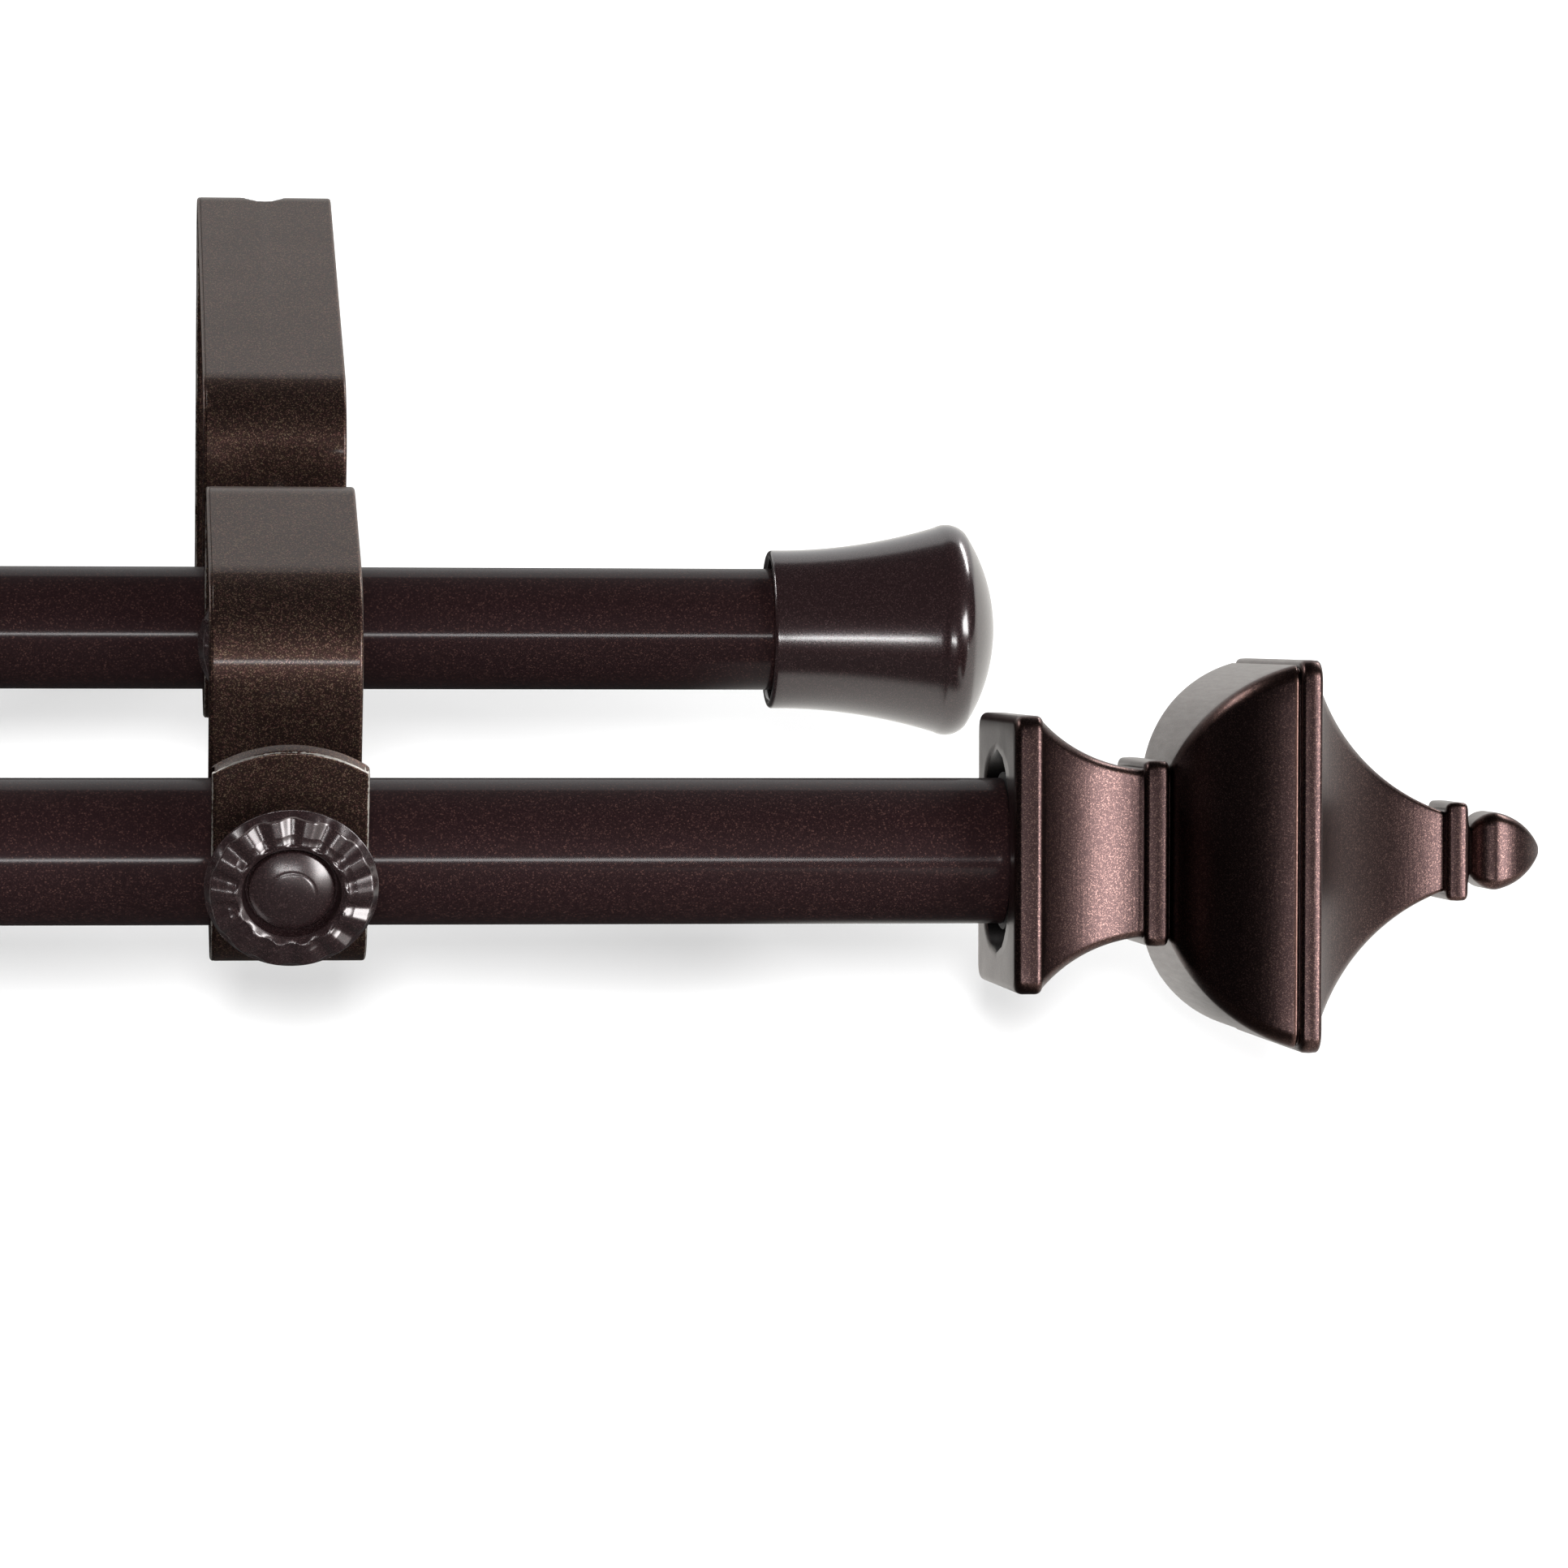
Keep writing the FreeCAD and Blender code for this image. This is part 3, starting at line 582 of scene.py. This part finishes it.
def knob_paint(name, gloss_spread):
    """Glossy dark bronze paint on a casting, thin on the rim's edge, its gloss soft by gloss_spread."""
    paint = Paint(name)
    flake = paint.flakes(0.14 * mm)
    edge = paint.stored("edge")
    fine = paint.ramp(flake, (0.0, (0.017, 0.0078, 0.0085)), (0.75, (0.022, 0.0102, 0.0110)),
                      (0.95, (0.046, 0.025, 0.025)))
    thin = paint.rise(edge + paint.noise(1.6 * mm, detail=3.0) * 0.6, 1.2, 1.45)
    colour = paint.blend(thin * 0.4, fine, (0.30, 0.26, 0.25, 1.0))
    peel = paint.noise(1.1 * mm, detail=1.0)
    return paint.done(Base_Color=colour, Metallic=0.6, Roughness=0.34, Specular_IOR_Level=0.1,
                      Coat_Weight=1.0, Coat_Roughness=gloss_spread, Coat_IOR=1.8,
                      Normal=paint.bump(peel, 0.006 * mm))


def threaded_stud(name, tip, direction, length, radius, pitch, depth, around=40, chamfer=0.5 * mm):
    """Return a threaded stud from tip along direction, which is an X or Y unit vector.

    Its radius is the major radius less depth times the distance from the crest of the helix, which
    climbs one pitch a turn; both ends narrow by a chamfer.
    """
    steps = int(length / pitch * 10)
    along = np.linspace(0.0, length, steps)[:, None]
    angle = np.linspace(0.0, 2 * math.pi, around, endpoint=False)[None, :]
    phase = (along / pitch - angle / (2 * math.pi)) % 1.0
    valley = np.clip(np.abs(phase * 2 - 1) * 1.5 - 0.25, 0.0, 1.0)
    end_gap = np.minimum(along, length - along)
    narrow = np.clip(chamfer - end_gap, 0.0, None)
    r = np.minimum(radius - depth * valley, radius - narrow)
    direction = np.array(direction, float)
    side = np.cross(direction, [0.0, 0.0, 1.0])
    rings = (np.array(tip) + along[..., None] * direction + (r * np.cos(angle))[..., None] * side
             + (r * np.sin(angle))[..., None] * np.array([0.0, 0.0, 1.0]))
    return skin(name, rings, fan=True)


def outline_open(points, radius, steps=5):
    """Return an open outline with its inner corners rounded."""
    line, _, _ = bent_line(points, [radius] * (len(points) - 2), step=math.pi / 2 / steps)
    return line


def rosette(name, base):
    """Return a knob whose axis leaves base towards the room.

    Its face is a profile height(r) turned about the axis, and from the ring's crest to its rim each
    flute lowers it by depth * cos(pi waves t)^2, where t runs from -1/2 to 1/2 from ridge to ridge.
    """
    rim = centre_and_half("front_knob_right")[1][0]
    front = knob_front - knob_fall
    back = front - knob_rim
    floor = knob_front - knob_dish
    edge = knob_rim / 3
    boss_ball = (boss_radius ** 2 + boss_rise ** 2) / (2 * boss_rise)
    boss_r = np.concatenate([[1e-5], np.linspace(0.04, 0.97, 30)]) * boss_radius
    boss_h = floor + boss_rise - boss_ball + np.sqrt(boss_ball ** 2 - boss_r ** 2)
    boss_h = boss_h - engraved_depth * np.exp(-((boss_r - engraved_radius) / engraved_width) ** 2)
    groove = floor - groove_depth
    wall = np.array([[boss_radius * 0.99, floor + 0.02 * mm], [boss_radius, floor - 0.15 * mm],
                     [boss_radius + 0.02 * mm, groove + 0.2 * mm],
                     [boss_radius + 0.15 * mm, groove + 0.03 * mm], [boss_radius + 0.3 * mm, groove],
                     [boss_radius + 0.45 * mm, groove + 0.08 * mm],
                     [boss_radius + 0.56 * mm, groove + 0.4 * mm]])
    throat = bent_line([(boss_radius + 0.6 * mm, groove + 0.7 * mm),
                        (ring_crest - knob_throat, knob_front - knob_throat), (ring_crest, knob_front),
                        (ring_crest + 1.0 * mm, knob_front - 0.33 * mm)], [throat_round, throat_round],
                       step=math.radians(9))[0]
    face_r = np.linspace(ring_crest + 1.15 * mm, rim - edge, 14)
    face_h = knob_front - knob_fall * (face_r - ring_crest) / (rim - edge - ring_crest)
    share = np.linspace(0.0, 1.0, 8)[1:, None]
    brow = np.array([rim - edge, front]) + share * np.array([edge, back + edge - front])
    tail = outline_open([(rim, back + edge), (rim, back + 0.9 * edge), (rim - 0.9 * edge, back),
                         (knob_hub_radius, back - knob_cone / 2), (knob_hub_radius, back - knob_cone),
                         (hub_bore_radius, back - knob_cone)], knob_round)
    profile = np.concatenate([np.stack([boss_r, boss_h], axis=1), wall, throat,
                              np.stack([face_r, face_h], axis=1), brow, tail[1:]])
    r, h = profile[:, 0], profile[:, 1]
    angle = np.linspace(0.0, 2 * math.pi, flute_count * 16, endpoint=False)
    t = (angle * flute_count / (2 * math.pi)) % 1.0 - 0.5
    scoop = np.cos(np.clip(flute_waves * math.pi * t, -math.pi / 2, math.pi / 2)) ** 2
    grow = np.clip((r - ring_crest) / (rim - ring_crest), 0.0, 1.0)
    near = np.clip((r - ring_crest) / flute_run_out + 0.75, 0.0, 1.0)
    near = near * near * (3 - 2 * near)
    in_front = np.clip((h - back - edge) / (front - back - edge), 0.0, 1.0)
    amount = flute_depth * (flute_start + (1 - flute_start) * grow) * near * in_front
    lowered = h[:, None] - amount[:, None] * scoop[None, :]
    rings = np.stack([base[0] + r[:, None] * np.cos(angle), base[1] - lowered,
                      base[2] + r[:, None] * np.sin(angle)], axis=2)
    piece = skin(name, rings, fan=True)
    on_rim = ((r > rim - 1.1 * edge) & (h > front - 0.4 * edge)).astype(float)
    mark(piece, np.concatenate([np.repeat(on_rim, len(angle)), [0.0, 0.0]]))
    return piece


thread_material = plated_thread()
knob_material = knob_paint("knob_paint", 0.27)
for end in ends_out:
    for row in ("front", "back"):
        middle, half = centre_and_half(f"{row}_screw_{end}")
        tip = (middle[0], middle[1] + half[1], middle[2])
        stud = threaded_stud(f"{row}_thumb_stud_{end}", tip, (0, -1, 0), 2 * half[1], half[0], stud_pitch,
                             stud_thread)
        fitted(stud, f"{row}_screw_{end}", thread_material)
        knob_middle, knob_half = centre_and_half(f"{row}_knob_{end}")
        strap_face = knob_middle[1] + knob_half[1] + (knob_front - knob_fall - knob_rim - knob_cone)
        knob = rosette(f"{row}_thumb_knob_{end}", (middle[0], strap_face, middle[2]))
        fitted(knob, f"{row}_knob_{end}", knob_material)

# Finials
# Each finial is one casting in resin, square in section: a block, a cove, a bead, a bowl with a raised
# rim, a long taper, a small collar and an acorn tip. It is sprayed satin bronze, rubbed warmer on its
# edges. It screws on the stud in its pole's plug, and its faces came to rest turned 24.5 degrees.
finial_turn = math.radians(24.5)
finial_bore = 13.35 * mm
finial_bore_depth = 2.8 * mm
finial_stud_hole = 3.05 * mm
finial_stud_depth = 13.05 * mm
mouth_round = 0.15 * mm
bore_round = 0.05 * mm
finial_corner = 2.15 * mm
finial_corner_share = 0.10
tip_corner_share = 0.3
tip_from = 62.0 * mm
side_points = 9
corner_points = 7


def arc_points(start, through, end, steps):
    """Return points on the circle through three points: centre from the equal-distance equations."""
    (ax, ay), (bx, by), (cx, cy) = start, through, end
    d = 2 * (ax * (by - cy) + bx * (cy - ay) + cx * (ay - by))
    aa, bb, cc = ax * ax + ay * ay, bx * bx + by * by, cx * cx + cy * cy
    ux = (aa * (by - cy) + bb * (cy - ay) + cc * (ay - by)) / d
    uy = (aa * (cx - bx) + bb * (ax - cx) + cc * (bx - ax)) / d
    a0, a1, a2 = (math.atan2(y - uy, x - ux) for x, y in (start, through, end))
    span = (a2 - a0) % (2 * math.pi)
    if (a1 - a0) % (2 * math.pi) > span:
        span -= 2 * math.pi
    angle = a0 + np.linspace(0.0, span, steps)
    r = math.hypot(ax - ux, ay - uy)
    return np.stack([ux + r * np.cos(angle), uy + r * np.sin(angle)], axis=1)


def hollow(start, end, along, down, steps):
    """Return an arc from start to end that has done the share down of its fall at the share along."""
    middle = (start[0] + along * (end[0] - start[0]), start[1] + down * (end[1] - start[1]))
    return arc_points(start, middle, end, steps)


def moulding(start, end, foot, crown, steps=9):
    """Return a bead's or collar's side: a low arc from foot to foot, over its crown."""
    flat = (end - start) / 5
    rise = crown - foot
    climb = hollow((start, foot), (start + flat, crown), 0.25, 0.7, steps)
    fall = [(end - (p - start), q) for p, q in climb[::-1]]
    middle = [(start + flat + 0.5 * (end - start - 2 * flat), crown + 0.06 * rise)]
    return np.concatenate([climb, middle, fall])


def finial_side():
    """Return the finial's side outline as (length, half-width), from its mouth's rim to its tip.

    The numbers are in mm, but for each hollow's shares along and down and its count of points.
    """
    block_end, block_half, block_round = 3.7, 17.9, 1.1
    cove_end, cove_half = 17.8, 10.9
    bead_end, bead_half = 21.0, 12.0
    bowl_end, bowl_half = 35.7, 24.5
    rim_end, rim_half = 38.6, 25.1
    taper_end, taper_start_half, taper_half = 58.7, 22.4, 5.2
    collar_end, collar_half = 61.6, 6.4
    neck_at, neck_half = 62.6, 3.2
    tip_at, tip_half, tip_end = 65.7, 5.1, 72.3
    step_in, seam = 1.0, 0.12
    pieces = [
        hollow((0.0, block_half - block_round), (block_round, block_half), 0.3, 0.7, 7),
        hollow((block_end - 0.9, block_half), (block_end, block_half - 0.55), 0.62, 0.3, 6),
        hollow((block_end + seam, block_half - 0.75), (cove_end - 2 * seam, cove_half), 0.4, 0.62, 30),
        moulding(cove_end, bead_end, bead_half - step_in, bead_half),
        hollow((bead_end + seam, bead_half - step_in), (bowl_end - 0.5, bowl_half), 0.46, 0.71, 40),
        [(bowl_end - 0.22, bowl_half - 0.08), (bowl_end, bowl_half - 0.45)],
        moulding(bowl_end + seam, rim_end, rim_half - step_in, rim_half),
        hollow((rim_end + seam, taper_start_half), (taper_end - seam, taper_half), 0.47, 0.67, 40),
        moulding(taper_end, collar_end, collar_half - step_in, collar_half),
        [(neck_at - 0.25, neck_half + 0.12)],
        hollow((neck_at, neck_half), (tip_at, tip_half), 0.4, 0.72, 12),
        hollow((tip_at + 0.2, tip_half - 0.02), (tip_end - 0.25, 0.75), 0.56, 0.34, 16)[1:],
        [(tip_end - 0.05, 0.3), (tip_end, 0.02)]]
    return np.concatenate([np.array(p, float) for p in pieces]) * mm


def square_ring(half, corner, flat=side_points, arc=corner_points):
    """Return directions round a rounded square, as points (across, up) for half-widths half[i].

    Side k is the first side turned by k quarter turns. Its flat runs to the corner's arc, of radius
    corner[i] about a centre that lies that far in from both sides.
    """
    half, corner = np.asarray(half)[:, None], np.asarray(corner)[:, None]
    grid = np.linspace(-1.0, 1.0, flat)
    grid = np.sign(grid) * np.abs(grid) ** 0.5
    side = np.stack([(half - corner) * grid, np.repeat(half, flat, axis=1)], axis=2)
    angle = np.linspace(0.0, math.pi / 2, arc + 2)[1:-1]
    round_corner = np.stack([half - corner + corner * np.sin(angle), half - corner + corner * np.cos(angle)],
                            axis=2)
    quarter = np.concatenate([side, round_corner], axis=1)
    sides = []
    for k in range(4):
        sides.append(quarter)
        quarter = np.stack([quarter[..., 1], -quarter[..., 0]], axis=2)
    return np.concatenate(sides, axis=1)


def finial_paint():
    """Satin bronze over resin: fine flake, faint brush marks round the coves, warmer rubbed edges, and
    painted shade in the bore.
    """
    paint = Paint("finial_resin")
    flake = paint.flakes(0.11 * mm)
    edge = paint.stored("edge")
    stretch = paint.node("ShaderNodeMapping", {}, {"Vector": paint.place(), "Scale": (1.0, 0.06, 0.06)})
    brushed = paint.noise(0.35 * mm, detail=3.0, at=stretch)
    cloud = paint.noise(12.0 * mm, detail=3.0)
    fine = paint.ramp(flake, (0.0, (0.040, 0.023, 0.023)), (0.60, (0.050, 0.029, 0.028)),
                      (0.84, (0.10, 0.060, 0.054)), (0.97, (0.20, 0.120, 0.105)))
    body = paint.blend(cloud * 0.5, fine, (0.030, 0.016, 0.016, 1.0))
    rubbed = paint.rise(edge + brushed * 0.4 + cloud * 0.3, 0.8, 1.5)
    sprayed = paint.blend(rubbed * 0.6, body, (0.13, 0.068, 0.050, 1.0))
    # Painted shade: the marked bore and stud hole are painted near black and lose their coat, as shade inside
    # them.
    depth = paint.stored("depth")
    colour = paint.blend(depth, sprayed, (0.006, 0.004, 0.004, 1.0))
    grain = paint.noise(0.25 * mm, detail=3.0)
    return paint.done(Base_Color=colour, Metallic=1.0, Roughness=0.27 + brushed * 0.1, Specular_IOR_Level=0.1,
                      Normal=paint.bump(brushed * 0.6 + grain * 0.4, 0.03 * mm),
                      Coat_Weight=0.15 - depth * 0.15, Coat_Roughness=0.3)


finial_material = finial_paint()
for end, direction in ends_out.items():
    middle, half = centre_and_half("finial_" + end)
    mouth = np.array([middle[0] - direction * half[0], middle[1], middle[2]])
    side = finial_side()
    length, width = side[:, 0], side[:, 1]
    corner = np.clip(width * finial_corner_share, 0.25 * mm, finial_corner)
    corner = np.where(length > tip_from, width * tip_corner_share, corner)
    outside = square_ring(width, corner)
    around = outside.shape[1]
    angle = np.arctan2(outside[0, :, 1], outside[0, :, 0])
    circle = np.stack([np.cos(angle), np.sin(angle)], axis=1)
    inside_r = np.array([finial_bore, finial_bore, finial_bore - bore_round, finial_stud_hole,
                         finial_stud_hole])
    inside_x = np.array([mouth_round, finial_bore_depth - bore_round, finial_bore_depth, finial_bore_depth,
                         finial_bore_depth + finial_stud_depth])
    inside = circle[None] * inside_r[:, None, None]
    share = np.linspace(0.0, 1.0, 5)[1:, None, None]
    face = outside[0] * (1 - share) + circle * (finial_bore + mouth_round) * share
    rings_2d = np.concatenate([inside[::-1], face[::-1], outside])
    rings_x = np.concatenate([inside_x[::-1], np.zeros(len(face)), length])
    turn_by = -finial_turn * direction
    y = rings_2d[..., 0] * math.cos(turn_by) - rings_2d[..., 1] * math.sin(turn_by)
    z = rings_2d[..., 0] * math.sin(turn_by) + rings_2d[..., 1] * math.cos(turn_by)
    rings = np.stack([mouth[0] + direction * rings_x[:, None] + 0 * y, mouth[1] + direction * y,
                      mouth[2] + z], axis=2)
    finial = skin("finial_casting_" + end, rings, fan=True)
    sharpness = np.abs(np.gradient(np.unwrap(np.arctan2(np.gradient(width), np.gradient(length)))))
    ridge_share = (np.clip(sharpness / 0.5, 0.0, 1.0) * (np.gradient(np.gradient(width)) < 0))[:, None]
    quarter = around // 4
    on_corner = (np.arange(around) % quarter >= side_points).astype(float)[None, :]
    edges = np.maximum(ridge_share * 0.9, on_corner * 0.7)
    inner_rings = len(rings_x) - len(length)
    mark(finial, np.concatenate([np.zeros(inner_rings * around), edges.reshape(-1), [0.0, 0.0]]))
    # Painted shade: the rings of the bore and stud hole are marked 1, for the material to paint them near
    # black.
    painted_bore_shade = np.concatenate([np.ones(len(inside_x)), np.zeros(len(face) + len(length))])
    mark(finial, np.concatenate([np.repeat(painted_bore_shade, around), [1.0, 0.0]]), "depth")
    finial.data.set_sharp_from_angle(angle=math.radians(50))
    fitted(finial, "finial_" + end, finial_material)

# Finial plugs and studs
# A moulded plug is pressed into each end of the front pole, its flange inside the finial's mouth,
# and a zinc-plated M6 stud joins it to the finial.
plug_flange = 2.0 * mm
plug_bore = 3.05 * mm
plug_lead = 1.5 * mm
finial_stud_pitch = 1.0 * mm
finial_stud_thread = 0.55 * mm
plug_radius = {"right": 8.675 * mm, "left": 7.15 * mm}
for end, direction in ends_out.items():
    middle, half = centre_and_half("finial_plug_" + end)
    radius = half[2]
    length = 2 * half[0]
    body_radius = plug_radius[end]
    profile = outline([(0, plug_bore), (0, body_radius - 1.0 * mm), (plug_lead, body_radius),
                       (length - plug_flange, body_radius), (length - plug_flange, radius), (length, radius),
                       (length, plug_bore)], moulding_round)
    base = middle - [direction * half[0], 0, 0]
    plug = turned("pole_plug_" + end, profile, base, direction)
    fitted(plug, "finial_plug_" + end, plastic_material)
    middle, half = centre_and_half("finial_stud_" + end)
    tip = middle - [direction * half[0], 0, 0]
    stud = threaded_stud("finial_threaded_stud_" + end, tip, (direction, 0, 0), 2 * half[0], half[2],
                         finial_stud_pitch, finial_stud_thread)
    fitted(stud, "finial_stud_" + end, thread_material)

# Back pole caps
# Each end of the back pole has a die-cast trumpet cap, pushed on over the tube: a wide open mouth with
# a shadow gap round the pole, a slow flare and a full rounded end. It has the knobs' paint, glossier.
cap_mouth = 11.1 * mm
cap_wall = 1.2 * mm
cap_recess = 6.0 * mm
cap_depth = 20.0 * mm


def cap_outline(length, bulb, grip):
    """Return the cap's closed outline (length, radius), from the bottom of its socket round its outside."""
    flare_end = (23.5 * mm, bulb - 0.4 * mm)
    bulb_at = 25.3 * mm
    shoulder = (27.6 * mm, bulb - 1.05 * mm)
    crown_rise = length - shoulder[0]
    ball = (shoulder[1] ** 2 + crown_rise ** 2) / (2 * crown_rise)
    crown_r = np.linspace(shoulder[1], 0.02 * mm, 24)[1:]
    crown = np.stack([length - ball + np.sqrt(ball ** 2 - crown_r ** 2), crown_r], axis=1)
    recess = cap_mouth - cap_wall
    socket = [(cap_depth, 0.02 * mm), (cap_depth, grip - 0.1 * mm), (cap_depth - 0.1 * mm, grip),
              (cap_recess + 0.1 * mm, grip), (cap_recess, grip + 0.1 * mm)]
    inside_lip = arc_points((0.5 * mm, recess), (0.15 * mm, recess + 0.15 * mm), (0.0, recess + 0.5 * mm), 6)
    outside_lip = arc_points((0.0, cap_mouth - 0.55 * mm), (0.17 * mm, cap_mouth - 0.15 * mm),
                             (0.6 * mm, cap_mouth), 7)
    flare = arc_points((0.6 * mm, cap_mouth), (12.0 * mm, cap_mouth + 0.75 * mm), flare_end, 30)[1:]
    bulge = arc_points(flare_end, (bulb_at, bulb), shoulder, 24)[1:]
    return np.concatenate([np.array(socket), [(cap_recess, recess)], inside_lip, outside_lip, flare, bulge,
                           crown])


cap_material = knob_paint("cap_paint", 0.18)
for end, direction in ends_out.items():
    middle, half = centre_and_half("end_cap_" + end)
    grip = centre_and_half("back_tube_" + ("outer" if end == "right" else "inner"))[1][2] + 0.05 * mm
    base = middle - [direction * half[0], 0, 0]
    cap = turned("trumpet_cap_" + end, cap_outline(2 * half[0], half[2], grip), base, direction, around=128,
                 loop=False, fan=True)
    mark(cap, np.zeros(len(cap.data.vertices)))
    cap.data.set_sharp_from_angle(angle=math.radians(60))
    fitted(cap, "end_cap_" + end, cap_material)

# Studio
# A white floor just below the brackets and a white surround, with a dark flag over the room's side in
# reflections alone. A low strip lamp stands by the lens, a tall soft lamp to the right, a small one
# high up for the shadow, and two behind.
floor_drop = 1.0 * mm
floor_half = 6.0
floor_glow = 0.08
floor_white = (0.86, 0.86, 0.86, 1.0)
floor_dim = (0.06, 0.057, 0.057, 1.0)
floor_bright = (1.0, 0.98, 0.94, 1.0)
flag_radius = 4.5
flag_grey = (0.030, 0.028, 0.030, 1.0)
surround_light = 0.60
surround_mirrored = 0.85


def floor_paint():
    """Matt white board, a small part of its white its own on camera rays.

    Reflections see it dim, but bright to the right of the finial, behind its mouth and far behind.
    """
    paint = Paint("floor_board")
    rays = paint.tree.nodes.new("ShaderNodeLightPath")
    matt = paint.node("ShaderNodeBsdfDiffuse", {}, {"Color": floor_white})
    glow = paint.node("ShaderNodeEmission", {}, {"Color": (1.0, 1.0, 1.0, 1.0), "Strength": 1.0})
    across = paint.node("ShaderNodeSeparateXYZ", {}, {"Vector": paint.place()})
    back = paint.node("ShaderNodeSeparateXYZ", {}, {"Vector": paint.place()}, out=1)
    beside = paint.rise(across, 0.10, 0.14)
    behind = paint.rise(across, 0.06, 0.08) * paint.rise(back, -0.16, -0.14)
    lit = beside.larger(behind).larger(paint.rise(back, 0.35, 0.6))
    tone = paint.blend(lit, floor_dim, floor_bright)
    dim = paint.node("ShaderNodeEmission", {}, {"Color": tone, "Strength": 1.0})
    seen = Value(paint, rays.outputs["Is Camera Ray"]) * floor_glow
    bright = paint.node("ShaderNodeMixShader", {}, {0: seen, 1: matt, 2: glow})
    mirrored = Value(paint, rays.outputs["Is Glossy Ray"])
    mixed = paint.node("ShaderNodeMixShader", {}, {0: mirrored, 1: bright, 2: dim})
    output = paint.tree.nodes.new("ShaderNodeOutputMaterial")
    paint.tree.links.new(mixed.socket, output.inputs["Surface"])
    return paint.material


floor_level = cad_box[0][2] - floor_drop
floor_mesh = bpy.data.meshes.new("floor")
floor_mesh.from_pydata([(-floor_half, -floor_half, floor_level), (floor_half, -floor_half, floor_level),
                        (floor_half, floor_half, floor_level), (-floor_half, floor_half, floor_level)],
                       [], [(0, 1, 2, 3)])
floor = bpy.data.objects.new("floor", floor_mesh)
bpy.context.scene.collection.objects.link(floor)
floor.data.materials.append(floor_paint())


def hood(name, centre, radius, open_left, open_right, steps=48):
    """Return a sphere round the room that is open about +Y: the room's side, its top and its ends.

    Its points are centre + radius * (sin a cos b, cos a, sin a sin b), a from the opening to -Y, and
    the opening's half angle is open_left + (open_right - open_left) * max(cos b, 0)^2.
    """
    b = np.linspace(0.0, 2 * math.pi, 2 * steps, endpoint=False)[None, :]
    start = open_left + (open_right - open_left) * np.clip(np.cos(b), 0.0, None) ** 2
    a = start + (math.pi - start) * np.linspace(0.0, 1.0, steps)[:, None]
    rings = np.stack([centre[0] + radius * np.sin(a) * np.cos(b), centre[1] + radius * np.cos(a),
                      centre[2] + radius * np.sin(a) * np.sin(b)], axis=2)
    return skin(name, rings)


flag = hood("dark_flag", (0.0, -0.1, 0.0), flag_radius, open_left=math.radians(42),
            open_right=math.radians(68))
flag_paint = Paint("dark_flag")
shade = flag_paint.node("ShaderNodeEmission", {}, {"Color": flag_grey, "Strength": 1.0})
flag_output = flag_paint.tree.nodes.new("ShaderNodeOutputMaterial")
flag_paint.tree.links.new(shade.socket, flag_output.inputs["Surface"])
flag.data.materials.append(flag_paint.material)
flag.visible_camera = False
flag.visible_shadow = False
flag.visible_diffuse = False
flag.visible_transmission = False

world = bpy.data.worlds.new("studio")
bpy.context.scene.world = world
world.use_nodes = True
nodes, links = world.node_tree.nodes, world.node_tree.links
nodes.clear()
rays = nodes.new("ShaderNodeLightPath")
level = nodes.new("ShaderNodeMapRange")
level.inputs["To Min"].default_value = surround_light
level.inputs["To Max"].default_value = 1.0
links.new(rays.outputs["Is Camera Ray"], level.inputs["Value"])
mirrored = nodes.new("ShaderNodeMath")
mirrored.operation = "MULTIPLY"
mirrored.inputs[1].default_value = surround_mirrored
links.new(rays.outputs["Is Glossy Ray"], mirrored.inputs[0])
strength = nodes.new("ShaderNodeMath")
strength.operation = "MAXIMUM"
links.new(level.outputs[0], strength.inputs[0])
links.new(mirrored.outputs[0], strength.inputs[1])
surround = nodes.new("ShaderNodeBackground")
surround.inputs["Color"].default_value = (1.0, 1.0, 1.0, 1.0)
links.new(strength.outputs[0], surround.inputs["Strength"])
world_output = nodes.new("ShaderNodeOutputWorld")
links.new(surround.outputs[0], world_output.inputs["Surface"])


def soft_lamp(name, target, azimuth, elevation, distance, width, height, power):
    """Return an area lamp at azimuth (0 is the room's side, 90 is +X) and elevation, aimed at target.

    Away from the target is (sin a cos e, -cos a cos e, sin e).
    """
    a, e = math.radians(azimuth), math.radians(elevation)
    away = np.array([math.sin(a) * math.cos(e), -math.cos(a) * math.cos(e), math.sin(e)])
    place = np.array(target) + away * distance
    level = np.cross([0.0, 0.0, 1.0], away)
    level /= np.linalg.norm(level)
    matrix = np.eye(4)
    matrix[:3, 0], matrix[:3, 1], matrix[:3, 2], matrix[:3, 3] = level, np.cross(away, level), away, place
    data = bpy.data.lights.new(name, "AREA")
    data.shape = "RECTANGLE"
    data.size, data.size_y = width, height
    data.energy = power
    lamp = bpy.data.objects.new(name, data)
    lamp.matrix_world = Matrix(matrix.tolist())
    bpy.context.scene.collection.objects.link(lamp)
    return lamp


aim = (0.06, -0.16, 0.01)
soft_lamp("lens_lamp", aim, azimuth=-8.0, elevation=13.0, distance=1.1, width=0.60, height=0.055, power=2.8)
soft_lamp("side_lamp", aim, azimuth=46.0, elevation=14.0, distance=1.2, width=0.50, height=0.80, power=17.0)
shadow_lamp = soft_lamp("shadow_lamp", aim, azimuth=-5.0, elevation=33.0, distance=1.6, width=0.24,
                        height=0.24, power=30.0)
shadow_lamp.visible_glossy = False
for name, azimuth in (("rear_right_lamp", 122.0), ("rear_left_lamp", -122.0)):
    soft_lamp(name, (-0.35, -0.1, 0.0), azimuth, elevation=30.0, distance=2.0, width=0.9, height=0.25,
              power=14.0)

bpy.context.scene.view_settings.view_transform = "Standard"
